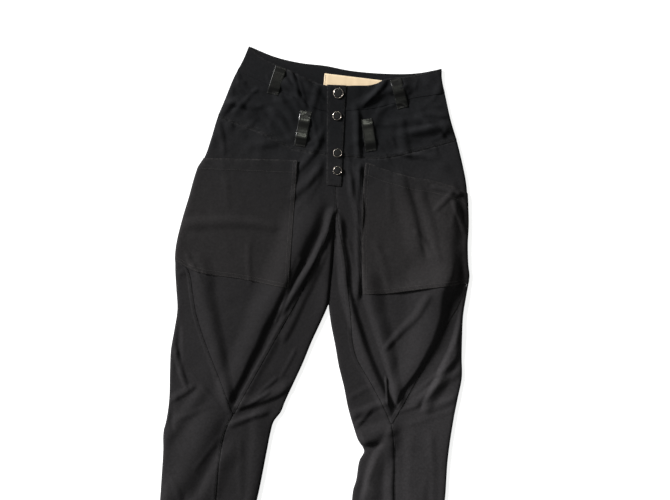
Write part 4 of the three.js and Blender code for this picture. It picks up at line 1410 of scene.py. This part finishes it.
def label_height(x, y, u, v):
    billow = 0.25 * np.sin(math.pi * u) * (0.5 + 0.5 * value_noise(x, y, 19, 23))
    creases = 0.3 * np.abs(value_noise(x + 0.1 * y, y / 6, 8, 24))
    return CLOTH + SEAM + 0.35 + billow + creases


points, normal = strip_lattice(
    [(LABEL.start, LABEL.head[0]), (LABEL.end, LABEL.head[1]), (LABEL.end, LABEL.foot[1]),
     (LABEL.start, LABEL.foot[0])],
    label_height, pitch=2.2,
)
points, wear = dress_edges(points, normal, {"start": (LABEL.stitch,), "end": (LABEL.stitch,), "head": ()})
piece, upper = shell("tape_label", points, normal, LABEL.thickness, label_tape, wear=wear)
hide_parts("label")
tops["label", ""] = SimpleNamespace(piece=piece, top=upper, normal=normal)

# %% [markdown]
# ## Snap buttons
#
# Each snap is a metal dish pressed on to the placket, with a bright rolled rim, and a black
# cap fills it. The dish starts as a cylinder: its top face is inset three times and pushed in
# to leave the rim, and a bevel rounds its sharp edges. The cap starts as a cylinder too, with a
# ring groove and a domed middle from insets. One of each is modelled, and each snap is a copy
# with its own mesh, scaled to its radius.

# %% Start and finish a round piece
SNAP_SIDES = 56


def select_faces(piece, wanted):
    bpy.ops.object.mode_set(mode="OBJECT")
    for face in piece.data.polygons:
        face.select = wanted(face)
    bpy.ops.object.mode_set(mode="EDIT")


def start_cylinder(name, radius, height):
    deselect_all()
    bpy.ops.mesh.primitive_cylinder_add(vertices=SNAP_SIDES, radius=radius, depth=height,
                                        location=(0, 0, height / 2))
    piece = bpy.context.object
    piece.name = name
    bpy.ops.object.transform_apply(location=True, rotation=True, scale=True)
    bpy.ops.object.mode_set(mode="EDIT")
    bpy.ops.mesh.select_mode(type="FACE")
    bpy.ops.mesh.select_all(action="DESELECT")
    return piece


def finish_model(piece, bevel):
    bpy.ops.object.mode_set(mode="OBJECT")
    modifier = piece.modifiers.new("rounded", "BEVEL")
    modifier.width = bevel
    modifier.segments = 3
    modifier.limit_method = "ANGLE"
    bpy.ops.object.modifier_apply(modifier=modifier.name)
    bpy.ops.object.shade_smooth_by_angle(angle=math.radians(50))


print("Sides of a snap:", SNAP_SIDES)

# %% Model a ring and a cap at unit radius
RING_HEIGHT = 2.0 * MM
UNIT = 10 * MM


def model_ring():
    ring = start_cylinder("ring model", UNIT, RING_HEIGHT)
    select_faces(ring, lambda face: face.normal.z > 0.9)
    for thickness, rise in ((0.6, 0.3), (0.5, -0.1), (0.4, -1.1)):
        bpy.ops.mesh.inset(thickness=thickness * MM)
        bpy.ops.transform.translate(value=(0, 0, rise * MM))
    finish_model(ring, 0.2 * MM)
    return ring


def model_cap():
    cap = start_cylinder("cap model", 0.83 * UNIT, 0.5 * MM)
    select_faces(cap, lambda face: face.normal.z > 0.9)
    for thickness, rise in ((1.8, -0.15), (0.6, 0.2), (1.2, 0.06), (1.6, 0.02)):
        bpy.ops.mesh.inset(thickness=thickness * MM)
        bpy.ops.transform.translate(value=(0, 0, rise * MM))
    finish_model(cap, 0.2 * MM)
    return cap


ring_model, cap_model = model_ring(), model_cap()
print("Ring model:", len(ring_model.data.polygons), "faces, cap model:", len(cap_model.data.polygons))


# %% Place the four snaps
def place_copy(model, name, x, y, z, scale, material):
    mesh = model.data.copy()
    points = np.empty(len(mesh.vertices) * 3)
    mesh.vertices.foreach_get("co", points)
    points = points.reshape(-1, 3) * [scale, scale, 1] + [x * MM, (y + CROTCH_Y) * MM, z * MM]
    mesh.vertices.foreach_set("co", points.ravel())
    mesh.update()
    return add_piece(name, mesh, material)


for number, (x, y, radius) in enumerate(SNAPS, start=1):
    base = PLACKET_Z + PLACKET.thickness / 2 - 0.2
    scale = radius * MM / UNIT
    ring = place_copy(ring_model, f"ring_{number}", x, y, base, scale, nickel)
    cap = place_copy(cap_model, f"cap_{number}", x, y, base + 1.12, scale, enamel)
    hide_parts(f"snap_ring_{number}")
    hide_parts(f"snap_core_{number}")

for model in (ring_model, cap_model):
    bpy.data.objects.remove(model, do_unlink=True)
print("Snaps placed:", len(SNAPS))

# %% [markdown]
# ## Stitches
#
# A stitch is a short piece of thread, a little thinner at both ends where it dives into the
# cloth. One is modelled from a six-sided cylinder, and its mesh is then repeated along lines
# on the panels' upper surfaces by plain array work, into one joined mesh for each panel. That
# keeps a few thousand stitches light. The pockets' thread has faded more than the rest.

# %% Model one stitch
STITCH = SimpleNamespace(length=2.5, pitch=3.3, radius=0.2)


def model_stitch():
    deselect_all()
    bpy.ops.mesh.primitive_cylinder_add(vertices=6, radius=STITCH.radius, depth=STITCH.length,
                                        rotation=(0, math.pi / 2, 0))
    stitch = bpy.context.object
    bpy.ops.object.transform_apply(location=True, rotation=True, scale=True)
    bpy.ops.object.mode_set(mode="EDIT")
    bpy.ops.mesh.select_mode(type="FACE")
    select_faces(stitch, lambda face: abs(face.normal.x) > 0.9)
    bpy.ops.mesh.inset(thickness=0.06)
    bpy.ops.object.mode_set(mode="OBJECT")
    points = np.array([vertex.co[:] for vertex in stitch.data.vertices])
    ends = np.abs(points[:, 0]) > STITCH.length * 0.49
    inner = np.hypot(points[:, 1], points[:, 2]) < STITCH.radius * 0.9
    points[:, 0] += np.sign(points[:, 0]) * np.where(ends & inner, 0.12, -0.3 * ends)
    points[:, 2] -= np.where(ends & inner, 0.16, 0)
    faces = [list(face.vertices) for face in stitch.data.polygons]
    bpy.data.objects.remove(stitch, do_unlink=True)
    return points, faces


stitch_points, stitch_faces = model_stitch()
print("One stitch:", len(stitch_points), "points,", len(stitch_faces), "faces")


# %% Lines on a panel, with even places along them
def inset_line(panel, edge, inset):
    """Points and normals on a panel's upper surface, a given distance inside one edge."""
    grid, normal = panel.top, panel.normal
    if edge in ("head", "foot"):
        grid, normal = grid.transpose(1, 0, 2), normal.transpose(1, 0, 2)
    if edge in ("end", "foot"):
        grid, normal = grid[:, ::-1], normal[:, ::-1]
    step = np.linalg.norm(np.diff(grid, axis=1), axis=2)
    reach = np.concatenate([np.zeros((len(grid), 1)), np.cumsum(step, axis=1)], axis=1)
    after = np.clip((reach < inset).sum(axis=1), 1, grid.shape[1] - 1)
    line = np.arange(len(grid))
    step = np.maximum(reach[line, after] - reach[line, after - 1], 1e-6)
    share = np.clip((inset - reach[line, after - 1]) / step, 0, 1)[:, None]
    return (lerp(grid[line, after - 1], grid[line, after], share),
            lerp(normal[line, after - 1], normal[line, after], share))


def evenly(points, normals, pitch, trim):
    """Middles, directions and normals of stitches spaced evenly along a line of points."""
    step = np.linalg.norm(np.diff(points, axis=0), axis=1)
    reach = np.concatenate([[0], np.cumsum(step)])
    at = np.arange(trim[0] + pitch / 2, reach[-1] - trim[1], pitch)
    middle = np.stack([np.interp(at, reach, points[:, k]) for k in range(3)], axis=1)
    ahead = np.stack([np.interp(at + pitch / 3, reach, points[:, k]) for k in range(3)], axis=1)
    behind = np.stack([np.interp(at - pitch / 3, reach, points[:, k]) for k in range(3)], axis=1)
    normal = np.stack([np.interp(at, reach, normals[:, k]) for k in range(3)], axis=1)
    return middle, ahead - behind, normal


print("Stitches on 100 mm of a line:", round(100 / STITCH.pitch))


# %% Repeat the stitch along lines
def stitch_mesh(name, runs, material=thread, sink=0.02):
    """One joined mesh of stitches from (middles, directions, normals) runs."""
    middle, direction, normal = (np.concatenate(part) for part in zip(*runs))
    direction = direction / np.maximum(np.linalg.norm(direction, axis=1, keepdims=True), 1e-9)
    across = np.cross(normal, direction)
    across /= np.maximum(np.linalg.norm(across, axis=1, keepdims=True), 1e-9)
    normal = np.cross(direction, across)
    middle = middle + normal * (STITCH.radius - sink)
    placed = (
        middle[:, None]
        + direction[:, None] * stitch_points[None, :, :1]
        + across[:, None] * stitch_points[None, :, 1:2]
        + normal[:, None] * stitch_points[None, :, 2:3]
    )
    count = len(stitch_points)
    faces = [
        [index + k * count for index in face] for k in range(len(middle)) for face in stitch_faces
    ]
    mesh = bpy.data.meshes.new(name)
    mesh.from_pydata(((placed.reshape(-1, 3) + [0, CROTCH_Y, 0]) * MM).tolist(), [], faces)
    mesh.shade_smooth()
    print(f"{name}: {len(middle)} stitches")
    return add_piece(name, mesh, material)


print("Points in 100 stitches:", 100 * len(stitch_points))

# %% Sew every line
STITCH_LINES = {  # part: edge, inset, trim at both ends of the line
    "waistband_front": [("head", BAND_STITCH, (6, 2))],
    "yoke": [("foot", YOKE_STITCHES[0], (6, 2)), ("foot", YOKE_STITCHES[1], (6, 2))],
    "outer_leg": [("end", SEAM_STITCH, (10, 2)), ("foot", HEM_STITCH, (6, 2))],
    "inner_leg": [("foot", HEM_STITCH, (6, 2))],
    "pocket": [("head", POCKET_MOUTH_STITCH, (6, 2)),
               ("end", POCKET_LINES[0], (1, 1)), ("end", POCKET_LINES[1], (1, 8)),
               ("foot", POCKET_LINES[0], (6, 2)), ("foot", POCKET_LINES[1], (6, 8))],
}

for side in SIDES:
    for part, lines in STITCH_LINES.items():
        panel = tops[part, side.name]
        runs = [
            evenly(*inset_line(panel, edge, inset), STITCH.pitch, trim) for edge, inset, trim in lines
        ]
        stitch_mesh(f"stitches_{part}_{side.name}", runs, pocket_thread if part == "pocket" else thread)

placket_trims = {"start": (3, 2), "end": (3, 2), "foot": (3, 3), "head": (3, 3)}
stitch_mesh("stitches_placket", [
    evenly(*inset_line(tops["placket", ""], edge, PLACKET_STITCHES[edge]), STITCH.pitch, trim)
    for edge, trim in placket_trims.items()
])
stitch_mesh("stitches_waistband_back", [
    evenly(*inset_line(tops["waistband_back", ""], "head", BAND_STITCH), STITCH.pitch, (3, 3))
])
stitch_mesh("stitches_label", [
    evenly(*inset_line(tops["label", ""], edge, LABEL.stitch), STITCH.pitch, (2, 2))
    for edge in ("start", "end")
])


# %% Bar tacks at the ends of the loops
def bar_tack(middle, along, normal):
    """A dense bar of short stitches across a line, as a machine sews it."""
    along = along / np.linalg.norm(along)
    across = np.cross(normal, along)
    steps = np.linspace(-0.5, 0.5, TACK.stitches)[:, None] * TACK.width
    alongs, normals = (np.repeat(each[None], TACK.stitches, axis=0) for each in (along, normal))
    return middle + across * steps, alongs, normals


for number in range(1, len(LOOPS) + 1):
    panel = tops["loop", number]
    runs = []
    for edge in ("head", "foot"):
        line, normals = inset_line(panel, edge, TACK.inset)
        middle = len(line) // 2
        across = line[-1] - line[0]
        runs.append(bar_tack(line[middle], np.cross(normals[middle], across), normals[middle]))
    stitch_mesh(f"tacks_loop_{number}", runs, tack_thread)

# %% [markdown]
# ## Cut sizes
#
# Each cloth piece's cut is listed: the width and length of a rectangle round the cut, one pair
# for both sides, and what the piece lies on. The loops below look up each piece and what it
# rests on.


CUTS = {  # part: width and length round the cut, in metres, and what it lies on
    "waistband_front": ((0.22, 0.11), "cloth_waistband_back"),
    "yoke": ((0.25, 0.15), "cloth_back_{}"),
    "front_thigh": ((0.28, 0.57), "cloth_back_{}"),
    "outer_leg": ((0.15, 0.65), "cloth_back_{}"),
    "inner_leg": ((0.13, 0.79), "cloth_back_{}"),
    "pocket": ((0.24, 0.26), "cloth_front_thigh_{}"),
    "back": ((0.31, 1.03), ""),
}

for side in SIDES:
    for part, (cut, below) in CUTS.items():
        piece = tops[part, side.name].piece
        rests = [below.format(side.name)] if below else []

OTHER_CUTS = (
    ("waistband_back", (0.42, 0.09), ["cloth_back_right", "cloth_back_left"]),
    ("placket", (0.04, 0.2), ["cloth_yoke_right", "cloth_yoke_left"]),
    ("label", (0.114, 0.033), ["cloth_waistband_back"]),
)
for part, cut, rests in OTHER_CUTS:
    piece = tops[part, ""].piece

for number, (side, top_x, top_y, foot_x, foot_y, *_) in enumerate(LOOPS, start=1):
    piece = tops["loop", number].piece
    below = "cloth_waistband_front" if top_y > side.band_seam(top_x) else "cloth_yoke"
    length = math.hypot(foot_x - top_x, foot_y - top_y)

# %% [markdown]
# ## Stage, light and camera
#
# The trousers lie on a white light table, so no shadow falls beside them, and are seen from
# straight above, turned by the few degrees that the photograph is. The key light comes in low
# from the viewer's left, far away and a little soft, so that each fold has a bright flank and
# a dark one. A small light overhead is there to be reflected by ribbon and metal, and a weak
# one at the left brightens what faces it.

# %% Floor
deselect_all()
bpy.ops.mesh.primitive_plane_add(size=12, location=(0, 0, -0.0004))
floor = bpy.context.object
floor.name = "floor"
floor_material, floor_tree, floor_shader = new_material("pale floor", 0.9)
floor_shader.inputs["Base Color"].default_value = (0.5, 0.5, 0.5, 1)
floor_shader.inputs["Specular IOR Level"].default_value = 0.1
floor_shader.inputs["Emission Color"].default_value = (1, 1, 1, 1)
floor_shader.inputs["Emission Strength"].default_value = 0.8
floor.data.materials.append(floor_material)
print("Glow of the floor:", round(floor_shader.inputs["Emission Strength"].default_value, 2))

# %% Lights
AIM = (0, 0.1, 0)


def aim(lamp, place):
    toward = np.array(AIM) - np.array(place)
    lamp.location = place
    lamp.rotation_euler = (
        math.atan2(math.hypot(toward[0], toward[1]), -toward[2]), 0,
        math.atan2(toward[1], toward[0]) - math.pi / 2,
    )


def new_light(name, kind, power, place):
    light = bpy.data.lights.new(name, kind)
    light.energy = power
    lamp = bpy.data.objects.new(name, light)
    bpy.context.scene.collection.objects.link(lamp)
    aim(lamp, place)
    return light


key = new_light("key", "SUN", 9.5, (-2.5, 1.4, 0.98))
key.angle = math.radians(14)
gloss = new_light("gloss", "AREA", 5.5, (0.0, 1.08, 2.0))
gloss.shape = "DISK"
gloss.color = (0.96, 1.0, 0.86)
gloss.size = 0.3
side_light = new_light("side", "AREA", 9, (-1.7, -0.3, 0.7))
side_light.shape = "DISK"
side_light.size = 0.5

print("Lights:", [light.name for light in (key, gloss, side_light)])

# %% Surroundings
world = bpy.data.worlds.new("studio")
bpy.context.scene.world = world
world.use_nodes = True
world.node_tree.nodes["Background"].inputs["Color"].default_value = (0.95, 0.97, 1, 1)
world.node_tree.nodes["Background"].inputs["Strength"].default_value = 0.12
bpy.context.scene.view_settings.view_transform = "Standard"
print("Surroundings:", world.name)

# %% Camera
# x, y and the width of the view at the table are in mm, the height is in metres
CAMERA = SimpleNamespace(x=20, y=-75, height=2.3, width=1312, roll=5.5, sensor=36)

camera_data = bpy.data.cameras.new("camera")
camera_data.sensor_width = CAMERA.sensor
camera_data.lens = CAMERA.sensor * CAMERA.height / (CAMERA.width * MM)
camera = bpy.data.objects.new("camera", camera_data)
camera.location = (CAMERA.x * MM, (CAMERA.y + CROTCH_Y) * MM, CAMERA.height)
camera.rotation_euler = (0, 0, math.radians(CAMERA.roll))
bpy.context.scene.collection.objects.link(camera)
bpy.context.scene.camera = camera
print("Camera at", tuple(camera.location), "lens", round(camera_data.lens, 1))

# %% Finish
bpy.context.view_layer.update()
